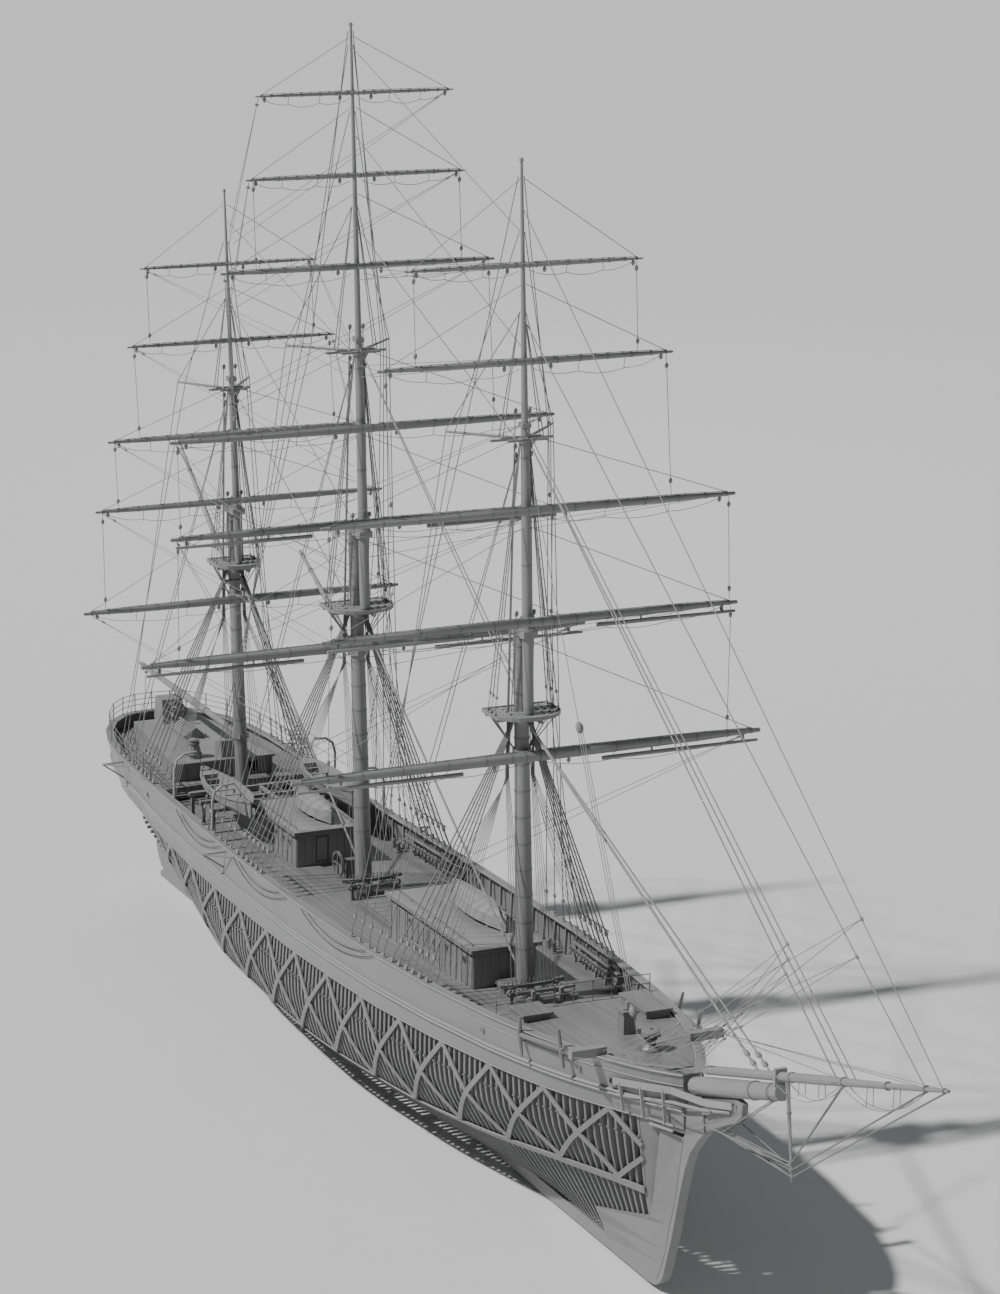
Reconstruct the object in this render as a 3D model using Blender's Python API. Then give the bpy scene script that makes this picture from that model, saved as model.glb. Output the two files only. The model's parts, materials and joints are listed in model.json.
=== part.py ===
"""Three-masted composite sailing ship, hull planking off below the sheer plates, at one to ten.

Every length below is a full-size metre and is brought to the model's size by SCALE as it is built.
X runs forward, Y to port and Z up; the origin lies amidships on the load waterline.
"""
import math

import bmesh
import bpy
import numpy as np
from mathutils import Matrix, Vector

SCALE = 0.1
GAP = 0.004
RUNNING_GAP = 0.005

# Sheer, measured at the top of the rail
RAIL_HEIGHT = 2.446
RAIL_SLOPE = 0.892
RAIL_CURVE = 0.572
RAIL_TWIST = -0.062
HALF_LENGTH = 30.0

# Depths below the top of the rail
PLATE_DEPTH = 2.55
DECK_DEPTH = 1.50
LOWER_DECK_DEPTH = 4.05
FORECASTLE_DEPTH = 0.14
QUARTERDECK_DEPTH = 0.70
DECK_THICKNESS = 0.12
CAMBER = 0.20

# Plan of the rail and of the lower edge of the sheer plates, from the stern's round forward
AFT_BODY_X = -25.0
NOSE_X = 31.6
RAIL_PLAN_X = (-25.0, -20.0, -10.0, 0.0, 10.0, 18.0, 24.0, 28.0, 30.5, 31.6)
RAIL_PLAN_Y = (4.78, 4.95, 5.25, 5.45, 5.25, 4.62, 3.60, 2.35, 1.20, 0.40)
PLATE_PLAN_Y = (4.25, 4.90, 5.47, 5.65, 5.33, 4.37, 3.15, 1.75, 0.72, 0.30)
RAIL_STERN_X = -35.2
PLATE_STERN_X = -33.6
PLATING_THICKNESS = 0.06
SIDE_STATIONS = (-25.0, -22.5, -20.0, -15.0, -10.0, -5.0, 0.0, 5.0, 10.0, 15.0, 20.0, 22.0, 24.0, 25.5, 27.0,
                 28.8, 30.2,
                 31.1, NOSE_X)
STERN_SHARES = (1.0, 0.99, 0.95, 0.86, 0.72, 0.52, 0.28)

# Lines of the open hull: half breadths and heights at the strap crossing, bilge and floor
LINE_X = (-32.0, -30.0, -25.0, -18.0, -9.0, 0.0, 9.0, 17.0, 24.0, 28.0, 30.2)
CROSS_Y = (0.80, 1.95, 3.40, 4.72, 5.55, 5.72, 5.33, 4.40, 2.90, 1.50, 0.55)
BILGE_Y = (0.35, 0.85, 2.15, 3.85, 5.08, 5.25, 4.60, 3.50, 2.20, 1.20, 0.42)
BILGE_Z = (-3.10, -3.15, -3.35, -3.70, -3.95, -4.00, -3.85, -3.30, -2.50, -2.15, -2.10)
FLOOR_Y = (0.27, 0.33, 0.90, 2.00, 3.20, 3.30, 2.60, 1.80, 1.00, 0.50, 0.27)
FLOOR_Z = (-5.00, -5.20, -5.40, -5.60, -5.75, -5.80, -5.65, -5.30, -4.80, -4.60, -4.40)

# Keel, stem and sternpost
KEEL_BOTTOM = -7.02
KEEL_TRIM = 0.004
KEEL_DEPTH = 0.60
KEEL_HALF = 0.23
HEEL_X = -33.05
STERNPOST_X = -32.595
STEM_CURVE = ((28.60, -6.91), (29.30, -6.83), (29.75, -6.55), (30.03, -6.10), (30.76, -3.82), (31.30, -1.70),
              (31.70, -0.40), (32.10, 0.50), (32.81, 1.36), (33.30, 1.82))
RUDDER_AXIS_X = -32.75

# Solid wedge of the forefoot that the foremost frames stand on, and the solid run aft
LEDGE_AFT = (24.6, -4.83)
LEDGE_FORE = (29.2, -3.51)
RUN_X = -29.2
COUNTER_Z = -1.15

# Frames and diagonal straps
FRAME_COUNT = 24
FRAME_FIRST_X = -28.9
FRAME_LAST_X = 29.0
FRAME_HALF_WIDTH = 0.10
FRAME_DEPTH = 0.25
FRAME_OUTSET = 0.116
STRAP_THICKNESS = 0.08
STRAP_HALF = 0.16
STRAP_FIRST_X = -26.61
STRAP_BAY = 3.87
STRAP_BAYS = 14
STRAKE_ENDS = (-29.1, 28.9)

# Masts: place at the deck datum, rake, forward offset of the upper masts, heights
MAST_DATUM_Z = 2.25


class Mast:
    """One mast: the lower mast, the topmast and the pole above it."""

    def __init__(self, name, x, rake_degrees, offset, top_z, cap_z, cross_z, head_z, truck_z, radii):
        self.name = name
        self.x = x
        self.rake = math.radians(rake_degrees)
        self.offset = offset
        self.top_z = top_z
        self.cap_z = cap_z
        self.cross_z = cross_z
        self.head_z = head_z
        self.truck_z = truck_z
        self.radii = radii

    def lower_x(self, z):
        return self.x - math.tan(self.rake) * (z - MAST_DATUM_Z)

    def upper_x(self, z):
        return self.lower_x(z) + self.offset

    def axis(self):
        return (-math.sin(self.rake), 0.0, math.cos(self.rake))


FORE = Mast("fore", 15.08, 4.54, 0.77, 15.41, 19.25, 28.15, 28.95, 40.84,
            (0.43, 0.34, 0.25, 0.19, 0.16, 0.06))
MAIN = Mast("main", -4.06, 5.11, 1.09, 15.75, 19.65, 28.70, 29.45, 44.79,
            (0.43, 0.34, 0.26, 0.19, 0.16, 0.06))
MIZZEN = Mast("mizzen", -20.86, 6.33, 0.73, 14.09, 17.05, 23.55, 24.25, 34.21,
              (0.36, 0.29, 0.20, 0.16, 0.13, 0.05))

# Yards: mast, name, height, length, distance forward of the mast it turns on, radius at the middle
YARDS = (
    (FORE, "course", 13.59, 23.7, 1.05, 0.26), (FORE, "lower_topsail", 19.95, 20.8, 0.74, 0.21),
    (FORE, "upper_topsail", 25.07, 20.6, 0.74, 0.20), (FORE, "topgallant", 31.77, 14.55, 0.37, 0.15),
    (FORE, "royal", 36.10, 11.6, 0.32, 0.11),
    (MAIN, "course", 14.12, 24.0, 1.42, 0.27), (MAIN, "lower_topsail", 20.35, 20.8, 0.74, 0.21),
    (MAIN, "upper_topsail", 25.07, 20.5, 0.72, 0.20), (MAIN, "topgallant", 33.01, 14.45, 0.37, 0.15),
    (MAIN, "royal", 37.44, 11.5, 0.32, 0.11), (MAIN, "skysail", 41.44, 10.3, 0.38, 0.09),
    (MIZZEN, "course", 12.37, 18.0, 1.30, 0.20), (MIZZEN, "lower_topsail", 17.75, 16.3, 0.75, 0.16),
    (MIZZEN, "upper_topsail", 21.35, 14.5, 0.62, 0.15), (MIZZEN, "topgallant", 26.23, 11.7, 0.35, 0.11),
    (MIZZEN, "royal", 30.29, 9.9, 0.31, 0.09),
)

# Deck fittings
PUMP_X = -5.9
WINDLASS_X = 17.33
CAPSTAN_X = 27.75
CAPSTAN_PROFILE = ((0.079, 0.0), (0.42, 0.0), (0.24, 0.18), (0.26, 0.52), (0.44, 0.60), (0.44, 0.80),
                   (0.30, 0.88),
                   (0.079, 0.88))
FORE_ROOF = 3.42
AFT_ROOF = 2.68
POOP_ROOF = 2.45
DOOR_GAP = 0.05
FORE_DOOR_X = (4.6, 5.35)
AFT_DOOR_Y = (-0.55, 0.15)
WHEEL_X = -31.0
BOWSPRIT = ((32.05, 0.0, 3.55), (39.43, 0.0, 5.95))
JIB_BOOM = ((33.0, 0.0, 4.62), (52.0, 0.0, 10.62))

# Colours of the photographed grey model, in linear values
GREY = {
    "hull_timber": (0.42, 0.42, 0.42), "frames": (0.34, 0.34, 0.34), "plating": (0.46, 0.46, 0.46),
    "deck": (0.40, 0.40, 0.40), "spar": (0.44, 0.44, 0.44), "iron": (0.38, 0.38, 0.38),
    "joinery": (0.45, 0.45, 0.45), "rope": (0.30, 0.30, 0.30),
}
ROUGH = {"iron": 0.5, "plating": 0.55}


def rail_z(x):
    """Height of the top of the rail."""
    t = x / HALF_LENGTH
    return RAIL_HEIGHT + RAIL_SLOPE * t + RAIL_CURVE * t ** 2 + RAIL_TWIST * t ** 3


def fair_curve(xs, ys):
    """A curve through the points that never overshoots between two of them."""
    xs = np.array(xs, float)
    ys = np.array(ys, float)
    steps = np.diff(xs)
    slopes = np.diff(ys) / steps
    tangents = np.zeros(len(xs))
    tangents[0] = slopes[0]
    tangents[-1] = slopes[-1]
    for i in range(1, len(xs) - 1):
        if slopes[i - 1] * slopes[i] > 0:
            before = 2 * steps[i] + steps[i - 1]
            after = steps[i] + 2 * steps[i - 1]
            tangents[i] = (before + after) / (before / slopes[i - 1] + after / slopes[i])

    def value(x):
        k = int(np.clip(np.searchsorted(xs, x) - 1, 0, len(xs) - 2))
        t = min(max((x - xs[k]) / steps[k], 0.0), 1.0)
        start = (2 * t ** 3 - 3 * t ** 2 + 1) * ys[k] + (t ** 3 - 2 * t ** 2 + t) * steps[k] * tangents[k]
        end = (-2 * t ** 3 + 3 * t ** 2) * ys[k + 1] + (t ** 3 - t ** 2) * steps[k] * tangents[k + 1]
        return float(start + end)

    return value


rail_plan = fair_curve(RAIL_PLAN_X, RAIL_PLAN_Y)
plate_plan = fair_curve(RAIL_PLAN_X, PLATE_PLAN_Y)
cross_half = fair_curve(LINE_X, CROSS_Y)
bilge_half = fair_curve(LINE_X, BILGE_Y)
bilge_height = fair_curve(LINE_X, BILGE_Z)
floor_half = fair_curve(LINE_X, FLOOR_Y)
floor_height = fair_curve(LINE_X, FLOOR_Z)


def stern_x(depth):
    """Where the plated side closes on the centre line at a depth below the rail."""
    return RAIL_STERN_X + (PLATE_STERN_X - RAIL_STERN_X) * max(depth / PLATE_DEPTH - 0.55, 0.0) / 0.45


def side_curve(x, depth):
    """Half breadth of the fair side at a depth below the rail."""
    share = depth / PLATE_DEPTH
    if x >= AFT_BODY_X:
        return rail_plan(x) + (plate_plan(x) - rail_plan(x)) * share
    full = rail_plan(AFT_BODY_X) + (plate_plan(AFT_BODY_X) - rail_plan(AFT_BODY_X)) * share
    part = min((AFT_BODY_X - x) / (AFT_BODY_X - stern_x(depth)), 1.0)
    return full * max(1 - part ** 2.2, 0.0) ** (1 / 2.6)


def plan_stations(depth):
    """The stations that the plating is built on, from the stern forward."""
    run = stern_x(depth) - AFT_BODY_X
    return [AFT_BODY_X + run * share for share in STERN_SHARES] + list(SIDE_STATIONS)


def side_at(x, depth):
    """Half breadth of the plated side as built, straight between two stations."""
    stations = plan_stations(depth)
    k = min(max(int(np.searchsorted(stations, x)), 1), len(stations) - 1)
    x0, x1 = stations[k - 1], stations[k]
    y0, y1 = side_curve(x0, depth), side_curve(x1, depth)
    return y0 + (y1 - y0) * min(max((x - x0) / (x1 - x0), 0.0), 1.0)


def plate_edge_z(x):
    """Height of the plates' lower edge as built, straight between two stations."""
    stations = plan_stations(PLATE_DEPTH)
    return float(np.interp(x, stations, [rail_z(s) for s in stations])) - PLATE_DEPTH


def keel_bottom(x):
    return KEEL_BOTTOM + KEEL_TRIM * x


def ledge_z(x):
    """Height of the forefoot's upper edge."""
    return LEDGE_AFT[1] + (LEDGE_FORE[1] - LEDGE_AFT[1]) * (x - LEDGE_AFT[0]) / (LEDGE_FORE[0] - LEDGE_AFT[0])


def section(x, inset=0.0):
    """Half section of the open hull as (breadth, height) nodes from the deck's edge to the keel."""
    plate = (side_at(x, PLATE_DEPTH), plate_edge_z(x))
    under_deck = DECK_DEPTH + DECK_THICKNESS + GAP
    head = (side_at(x, under_deck), plate[1] + PLATE_DEPTH - under_deck)
    bilge = (bilge_half(x), bilge_height(x))
    crossing = (cross_half(x), (plate[1] + bilge[1]) / 2 - 0.1)
    floor = (floor_half(x), floor_height(x))
    lower_bilge = (bilge[0] + (floor[0] - bilge[0]) * 0.17, bilge[1] + (floor[1] - bilge[1]) * 0.17)
    shelf = (head[0] + (plate[0] - head[0]) * 0.4, head[1] + (plate[1] - head[1]) * 0.4)
    keel = (KEEL_HALF, keel_bottom(x) + KEEL_DEPTH + GAP)
    if x > LEDGE_AFT[0] - 0.1:
        z = ledge_z(x) + GAP
        share = (lower_bilge[1] - z) / (lower_bilge[1] - floor[1])
        keel = (lower_bilge[0] + (floor[0] - lower_bilge[0]) * share, z)
        floor = ((lower_bilge[0] + keel[0]) / 2, (lower_bilge[1] + keel[1]) / 2)
    nodes = [head, shelf, plate, crossing, bilge, lower_bilge, floor, keel]
    if inset == 0.0:
        return nodes
    slope = (side_at(x + 0.1, PLATE_DEPTH) - side_at(x - 0.1, PLATE_DEPTH)) / 0.2
    oblique = math.hypot(1.0, slope)
    moved = []
    for i, (y, z) in enumerate(nodes):
        before = nodes[max(i - 1, 0)]
        after = nodes[min(i + 1, len(nodes) - 1)]
        run = math.hypot(after[0] - before[0], after[1] - before[1])
        out_y = -(after[1] - before[1]) / run
        out_z = (after[0] - before[0]) / run
        if i < 3:
            moved.append((y - inset * oblique, z))
        elif i == len(nodes) - 1:
            moved.append((y, z + max(inset - FRAME_OUTSET, 0.0)))
        else:
            moved.append((max(y - out_y * inset * oblique, 0.04), z - out_z * inset))
    return moved


def half_breadth(x, z, inset):
    """Half breadth of the open hull at a height."""
    nodes = section(x, inset)
    for (y0, z0), (y1, z1) in zip(nodes, nodes[1:]):
        if z1 <= z <= z0:
            return y0 + (y1 - y0) * (z0 - z) / max(z0 - z1, 1e-6)
    return nodes[0][0] if z > nodes[0][1] else nodes[-1][0]


# Closed solids as lists of points and faces

def box(x0, x1, y0, y1, z0, z1):
    """A plain box."""
    points = [(x, y, z) for x in (x0, x1) for y in (y0, y1) for z in (z0, z1)]
    return points, [(0, 1, 3, 2), (4, 6, 7, 5), (0, 4, 5, 1), (2, 3, 7, 6), (0, 2, 6, 4), (1, 5, 7, 3)]


def loft(rings):
    """Skin closed rings of equal count and cap both ends."""
    count = len(rings[0])
    points = [p for ring in rings for p in ring]
    faces = []
    for r in range(len(rings) - 1):
        for i in range(count):
            j = (i + 1) % count
            faces.append((r * count + i, r * count + j, (r + 1) * count + j, (r + 1) * count + i))
    faces.append(tuple(reversed(range(count))))
    faces.append(tuple((len(rings) - 1) * count + i for i in range(count)))
    return points, faces


def prism(outline, y0, y1):
    """A side view outline in X and Z, given a width in Y."""
    return loft([[(x, y, z) for x, z in outline] for y in (y0, y1)])


def plate(outline, z0, z1):
    """A plan outline in X and Y, given a height."""
    return loft([[(x, y, z) for x, y in outline] for z in (z0, z1)])


def spar(path, radii, sides=8):
    """A round stick through the points, with a radius at each."""
    path = [Vector(p) for p in path]
    along = (path[-1] - path[0]).normalized()
    side = Vector((0, 1, 0)) if abs(along.y) < 0.9 else Vector((1, 0, 0))
    across = along.cross(side).normalized()
    side = across.cross(along).normalized()
    rings = []
    for point, radius in zip(path, radii):
        ring = []
        for i in range(sides):
            angle = 2 * math.pi * (i + 0.5) / sides
            ring.append(tuple(point + radius * (math.cos(angle) * side + math.sin(angle) * across)))
        rings.append(ring)
    return loft(rings)


def ring_shape(centre, axis, inner, outer, height, sides=12):
    """A collar round an axis."""
    axis = Vector(axis).normalized()
    side = Vector((0, 1, 0))
    across = axis.cross(side).normalized()
    profile = ((inner, -height / 2), (outer, -height / 2), (outer, height / 2), (inner, height / 2))
    points = []
    for i in range(sides):
        angle = 2 * math.pi * (i + 0.5) / sides
        arm = math.cos(angle) * side + math.sin(angle) * across
        for radius, up in profile:
            points.append(tuple(Vector(centre) + radius * arm + up * axis))
    faces = []
    for i in range(sides):
        j = (i + 1) % sides
        for k in range(4):
            m = (k + 1) % 4
            faces.append((i * 4 + k, i * 4 + m, j * 4 + m, j * 4 + k))
    return points, faces


def sheet_solid(outer, inner, faces):
    """Close a sheet of faces into a plate with an outer side, an inner side and edges."""
    count = len(outer)
    used = sorted({i for face in faces for i in face})
    index = {old: new for new, old in enumerate(used)}
    points = [outer[i] for i in used] + [inner[i] for i in used]
    half = len(used)
    assert count == len(inner)
    top = [tuple(index[i] for i in face) for face in faces]
    solid = list(top) + [tuple(half + i for i in reversed(face)) for face in top]
    directed = {(a, b) for face in top for a, b in zip(face, face[1:] + face[:1])}
    for a, b in directed:
        if (b, a) not in directed:
            solid.append((b, a, half + a, half + b))
    return points, solid


# Blender objects

MATERIALS = {}


def finish(name):
    """The material of a sub-part, made once."""
    if name not in MATERIALS:
        material = bpy.data.materials.new(name)
        material.use_nodes = True
        shader = material.node_tree.nodes["Principled BSDF"]
        shader.inputs["Base Color"].default_value = (*GREY[name], 1.0)
        shader.inputs["Roughness"].default_value = ROUGH.get(name, 0.7)
        shader.inputs["Metallic"].default_value = 0.0
        MATERIALS[name] = material
    return MATERIALS[name]


def raw_object(name, shape):
    points, faces = shape
    mesh = bpy.data.meshes.new(name)
    mesh.from_pydata([tuple(SCALE * c for c in p) for p in points], [], faces)
    form = bmesh.new()
    form.from_mesh(mesh)
    bmesh.ops.recalc_face_normals(form, faces=form.faces)
    form.to_mesh(mesh)
    form.free()
    obj = bpy.data.objects.new(name, mesh)
    bpy.context.collection.objects.link(obj)
    return obj


def combine(obj, shapes, operation):
    """Join shapes to an object, or cut them from it."""
    tools = []
    for shape in shapes:
        tool = raw_object("tool", shape)
        tools.append(tool)
        cut = obj.modifiers.new("combine", "BOOLEAN")
        cut.operation = operation
        cut.solver = "EXACT"
        cut.object = tool
    bpy.context.view_layer.update()
    evaluated = obj.evaluated_get(bpy.context.evaluated_depsgraph_get())
    mesh = bpy.data.meshes.new_from_object(evaluated)
    obj.modifiers.clear()
    obj.data = mesh
    for tool in tools:
        bpy.data.objects.remove(tool)


def make(name, material, shapes, cuts=(), pivot=None, parent=None):
    """One named sub-part from joined shapes, its origin on its pivot if it moves."""
    obj = raw_object(name, shapes[0])
    if len(shapes) > 1:
        combine(obj, shapes[1:], "UNION")
    if cuts:
        combine(obj, cuts, "DIFFERENCE")
    obj.data.materials.clear()
    obj.data.materials.append(finish(material))
    obj.data.shade_smooth()
    obj.data.set_sharp_from_angle(angle=math.radians(35))
    if pivot is not None:
        place = Vector(pivot) * SCALE
        obj.data.transform(Matrix.Translation(-place))
        obj.location = place
    obj.parent = parent or BODIES["ship"]
    return obj


# Hull

def bowsprit_under(x):
    """Height just under the bowsprit's heel, where the stem carries it."""
    (x0, _, z0), (x1, _, z1) = BOWSPRIT
    rise = (z1 - z0) / (x1 - x0)
    return z0 + rise * (x - x0) - 0.42 * math.hypot(1.0, rise) * math.cos(math.pi / 12) - GAP


def keel_and_stem():
    """Keel, stem, sternpost and the solid deadwood at both ends."""
    bottom = [(x, keel_bottom(x)) for x in (HEEL_X, 0.0)] + list(STEM_CURVE)
    top_stem = [(33.25, 2.25), (33.0, bowsprit_under(33.0)), (32.06, bowsprit_under(32.06)), (31.66, 2.6),
                (31.66, 1.3), (31.0, 0.2), (30.0, -3.4), (29.1, -6.0)]
    keel_top = [(x, keel_bottom(x) + KEEL_DEPTH) for x in (28.6, 0.0, -31.9)]
    post = [(-32.0, -0.6), (STERNPOST_X, -0.6), (STERNPOST_X, -6.72), (HEEL_X, -6.86)]
    profile = prism(bottom + top_stem + keel_top + post, -KEEL_HALF, KEEL_HALF)
    forefoot = []
    edges = ((LEDGE_AFT[0], 29.5, -6.45), (LEDGE_AFT[0], 29.9, -5.6), (LEDGE_AFT[0], 30.2, LEDGE_AFT[1]),
             (LEDGE_FORE[0], 30.5, LEDGE_FORE[1]), (29.6, 30.9, -2.35), (30.3, 31.5, 0.99))
    for x_back, x_front, z in edges:
        wide = max(open_half(x_back, z), KEEL_HALF + 0.02)
        front = KEEL_HALF + 0.02
        forefoot.append([(x_back, -wide, z), (x_front, -front, z), (x_front, front, z), (x_back, wide, z)])
    run = []
    for z in (-6.60, -5.2, -3.8, -2.4, COUNTER_Z - 0.05):
        wide = max(open_half(RUN_X, z), KEEL_HALF + 0.02)
        post = KEEL_HALF + 0.02
        run.append([(RUN_X, -wide, z), (RUN_X, wide, z), (-32.3, post, z), (-32.3, -post, z)])
    under = []
    over = []
    wide = open_half(RUN_X, COUNTER_Z)
    for t in (0.0, 0.3, 0.55, 0.8, 0.94):
        x = RUN_X + (-33.0 - RUN_X) * t
        under.append((x, -wide * (1 - t ** 1.4), COUNTER_Z))
        x = RUN_X + (PLATE_STERN_X - RUN_X) * t
        over.append((x, -side_at(x, PLATE_DEPTH), plate_edge_z(x) - GAP))
    under += [(-33.0, 0.0, COUNTER_Z)] + [(x, -y, z) for x, y, z in reversed(under)]
    mirrored = [(x, -y, z) for x, y, z in reversed(over)]
    over += [(PLATE_STERN_X, 0.0, plate_edge_z(PLATE_STERN_X) - GAP)] + mirrored
    stock = spar([(RUDDER_AXIS_X, 0.0, z) for z in (-1.6, -0.7)], [0.15 + 2 * RUNNING_GAP] * 2, 12)
    return make("keel_stem_and_counter", "hull_timber",
                [profile, loft(forefoot), loft(run), loft([under, over])], [stock])


def open_half(x, z):
    """Half breadth of the open hull's full section, down to the keel."""
    bilge = (bilge_half(x), bilge_height(x))
    plate_edge = (side_at(x, PLATE_DEPTH), rail_z(x) - PLATE_DEPTH)
    crossing = (cross_half(x), (plate_edge[1] + bilge[1]) / 2 - 0.1)
    floor = (floor_half(x), floor_height(x))
    keel = (KEEL_HALF, keel_bottom(x) + KEEL_DEPTH)
    nodes = [plate_edge, crossing, bilge, floor, keel]
    for (y0, z0), (y1, z1) in zip(nodes, nodes[1:]):
        if z1 <= z <= z0:
            return y0 + (y1 - y0) * (z0 - z) / (z0 - z1)
    return nodes[0][0] if z > nodes[0][1] else KEEL_HALF


def frame_rows(x, inset):
    """Points of one frame from the port side round the keel to the starboard side."""
    nodes = section(x, inset)
    return [(x, y, z) for y, z in nodes] + [(x, -y, z) for y, z in reversed(nodes)]


def frames():
    """The frames with their shelf, bilge stringers and keelson, as one lattice."""
    spacing = (FRAME_LAST_X - FRAME_FIRST_X) / (FRAME_COUNT - 1)
    outset = FRAME_OUTSET
    outer = []
    inner = []
    columns = []
    for i in range(FRAME_COUNT):
        centre = FRAME_FIRST_X + spacing * i
        columns += [centre - FRAME_HALF_WIDTH, centre + FRAME_HALF_WIDTH]
    for x in columns:
        outer += frame_rows(x, outset)
        inner += frame_rows(x, outset + FRAME_DEPTH)
    rows = len(outer) // len(columns)
    nodes = rows // 2
    bands = {0, 4, nodes - 1, rows - 2, rows - 6}
    step = next(c for c, x in enumerate(columns) if x > LEDGE_AFT[0]) - 1
    faces = []
    for c in range(len(columns) - 1):
        for r in range(rows - 1):
            if c % 2 == 0 or r in bands and not (r == nodes - 1 and c == step):
                faces.append((c * rows + r, c * rows + r + 1, (c + 1) * rows + r + 1, (c + 1) * rows + r))
    return make("frames", "frames", [sheet_solid(outer, inner, faces)])


def strap_point(x, v, side, inset):
    """A point on the straps' surface: v runs from the plates' edge (0) to the bilge (1) and below."""
    nodes = section(x, inset)[2:6]
    marks = (0.0, 0.5, 1.0, 1.15)
    for k in range(3):
        if v <= marks[k + 1] or k == 2:
            t = (v - marks[k]) / (marks[k + 1] - marks[k])
            y = nodes[k][0] + (nodes[k + 1][0] - nodes[k][0]) * t
            z = nodes[k][1] + (nodes[k + 1][1] - nodes[k][1]) * t
            return (x, side * y, z)
    return None


def straps(side, name):
    """The crossed diagonal straps of one side, hung from the sheer plates to the bilge strake."""
    outer = []
    inner = []
    faces = []

    def point(x, v):
        shift = 0.0012 if v == 0.0 else 0.0
        outer.append(strap_point(x, v + shift, side, 0.0))
        inner.append(strap_point(x, v + shift, side, STRAP_THICKNESS))
        return len(outer) - 1

    meet = STRAP_HALF / STRAP_BAY
    apex_top = []
    apex_low = []
    for i in range(STRAP_BAYS + 1):
        x = STRAP_FIRST_X + STRAP_BAY * i
        apex_top.append((point(x - STRAP_HALF, 0.0), point(x + STRAP_HALF, 0.0)))
        apex_low.append((point(x - STRAP_HALF, 1.0), point(x + STRAP_HALF, 1.0)))
    top_notch = []
    low_notch = []
    for i in range(STRAP_BAYS + 1):
        x = STRAP_FIRST_X + STRAP_BAY * i
        for marks, v, apex in ((top_notch, meet * 2, apex_top), (low_notch, 1 - meet * 2, apex_low)):
            left = point(x - 2 * STRAP_HALF, v) if i > 0 else None
            right = point(x + 2 * STRAP_HALF, v) if i < STRAP_BAYS else None
            middle = point(x, v)
            marks.append((left, middle, right))
            row = [n for n in (left, middle, right) if n is not None]
            if apex is apex_top:
                faces.append((*apex[i], *reversed(row)))
            else:
                faces.append((*row, apex[i][1], apex[i][0]))
    for i in range(STRAP_BAYS):
        x0 = STRAP_FIRST_X + STRAP_BAY * i
        mid = x0 + STRAP_BAY / 2
        across = (mid - 2 * STRAP_HALF, mid, mid + 2 * STRAP_HALF)
        up_left, up_mid, up_right = (point(x, 0.5 - meet) for x in across)
        centre_left, centre_right = point(mid - STRAP_HALF, 0.5), point(mid + STRAP_HALF, 0.5)
        low_left, low_mid, low_right = (point(x, 0.5 + meet) for x in across)
        faces.append((up_left, up_mid, up_right, centre_right, centre_left))
        faces.append((centre_left, centre_right, low_right, low_mid, low_left))
        faces.append((top_notch[i][1], top_notch[i][2], up_mid, up_left))
        faces.append((top_notch[i + 1][0], top_notch[i + 1][1], up_right, up_mid))
        faces.append((low_left, low_mid, low_notch[i][2], low_notch[i][1]))
        faces.append((low_mid, low_right, low_notch[i + 1][1], low_notch[i + 1][0]))
    lower = []
    for i in range(STRAP_BAYS + 1):
        x = STRAP_FIRST_X + STRAP_BAY * i
        lower.append((point(x - STRAP_HALF, 1.12), point(x + STRAP_HALF, 1.12)))
        faces.append((apex_low[i][0], apex_low[i][1], lower[i][1], lower[i][0]))
    for i in range(STRAP_BAYS):
        x0 = STRAP_FIRST_X + STRAP_BAY * i
        marks_x = (x0 + STRAP_BAY * 0.36, x0 + STRAP_BAY * 0.64)
        high = [apex_low[i][1]] + [point(x, 1.0) for x in marks_x] + [apex_low[i + 1][0]]
        under = [lower[i][1]] + [point(x, 1.12) for x in marks_x] + [lower[i + 1][0]]
        for k in range(3):
            faces.append((high[k], high[k + 1], under[k + 1], under[k]))
    aft, fore = ((point(x, 1.0), point(x, 1.12)) for x in STRAKE_ENDS)
    faces.append((aft[0], apex_low[0][0], lower[0][0], aft[1]))
    faces.append((apex_low[-1][1], fore[0], fore[1], lower[-1][1]))
    return make(name, "frames", [sheet_solid(outer, inner, faces)])


def plan_loop(depth, offset=0.0, half=False):
    """Points round the ship at a depth below the rail, moved outwards by the offset."""
    side = [(x, -side_curve(x, depth)) for x in reversed(plan_stations(depth))]
    moved = []
    for i, (x, y) in enumerate(side):
        ahead = side[max(i - 1, 0)]
        behind = side[i + 1] if i + 1 < len(side) else (x, -side[i - 1][1])
        if i == 0:
            normal = Vector((0.35, -1.0)).normalized()
        else:
            run = Vector((behind[0] - ahead[0], behind[1] - ahead[1])).normalized()
            normal = Vector((run.y, -run.x)) * (1 if run.x < 0 else -1)
            if normal.y > 0:
                normal = -normal
        if i + 1 == len(side):
            normal = Vector((-1.0, 0.0))
        moved.append((x + normal.x * offset,
                      min(y + normal.y * offset, 0.0 if i + 1 == len(side) else -0.05)))
    if half:
        return moved
    return moved + [(x, -y) for x, y in reversed(moved[:-1])]


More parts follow.
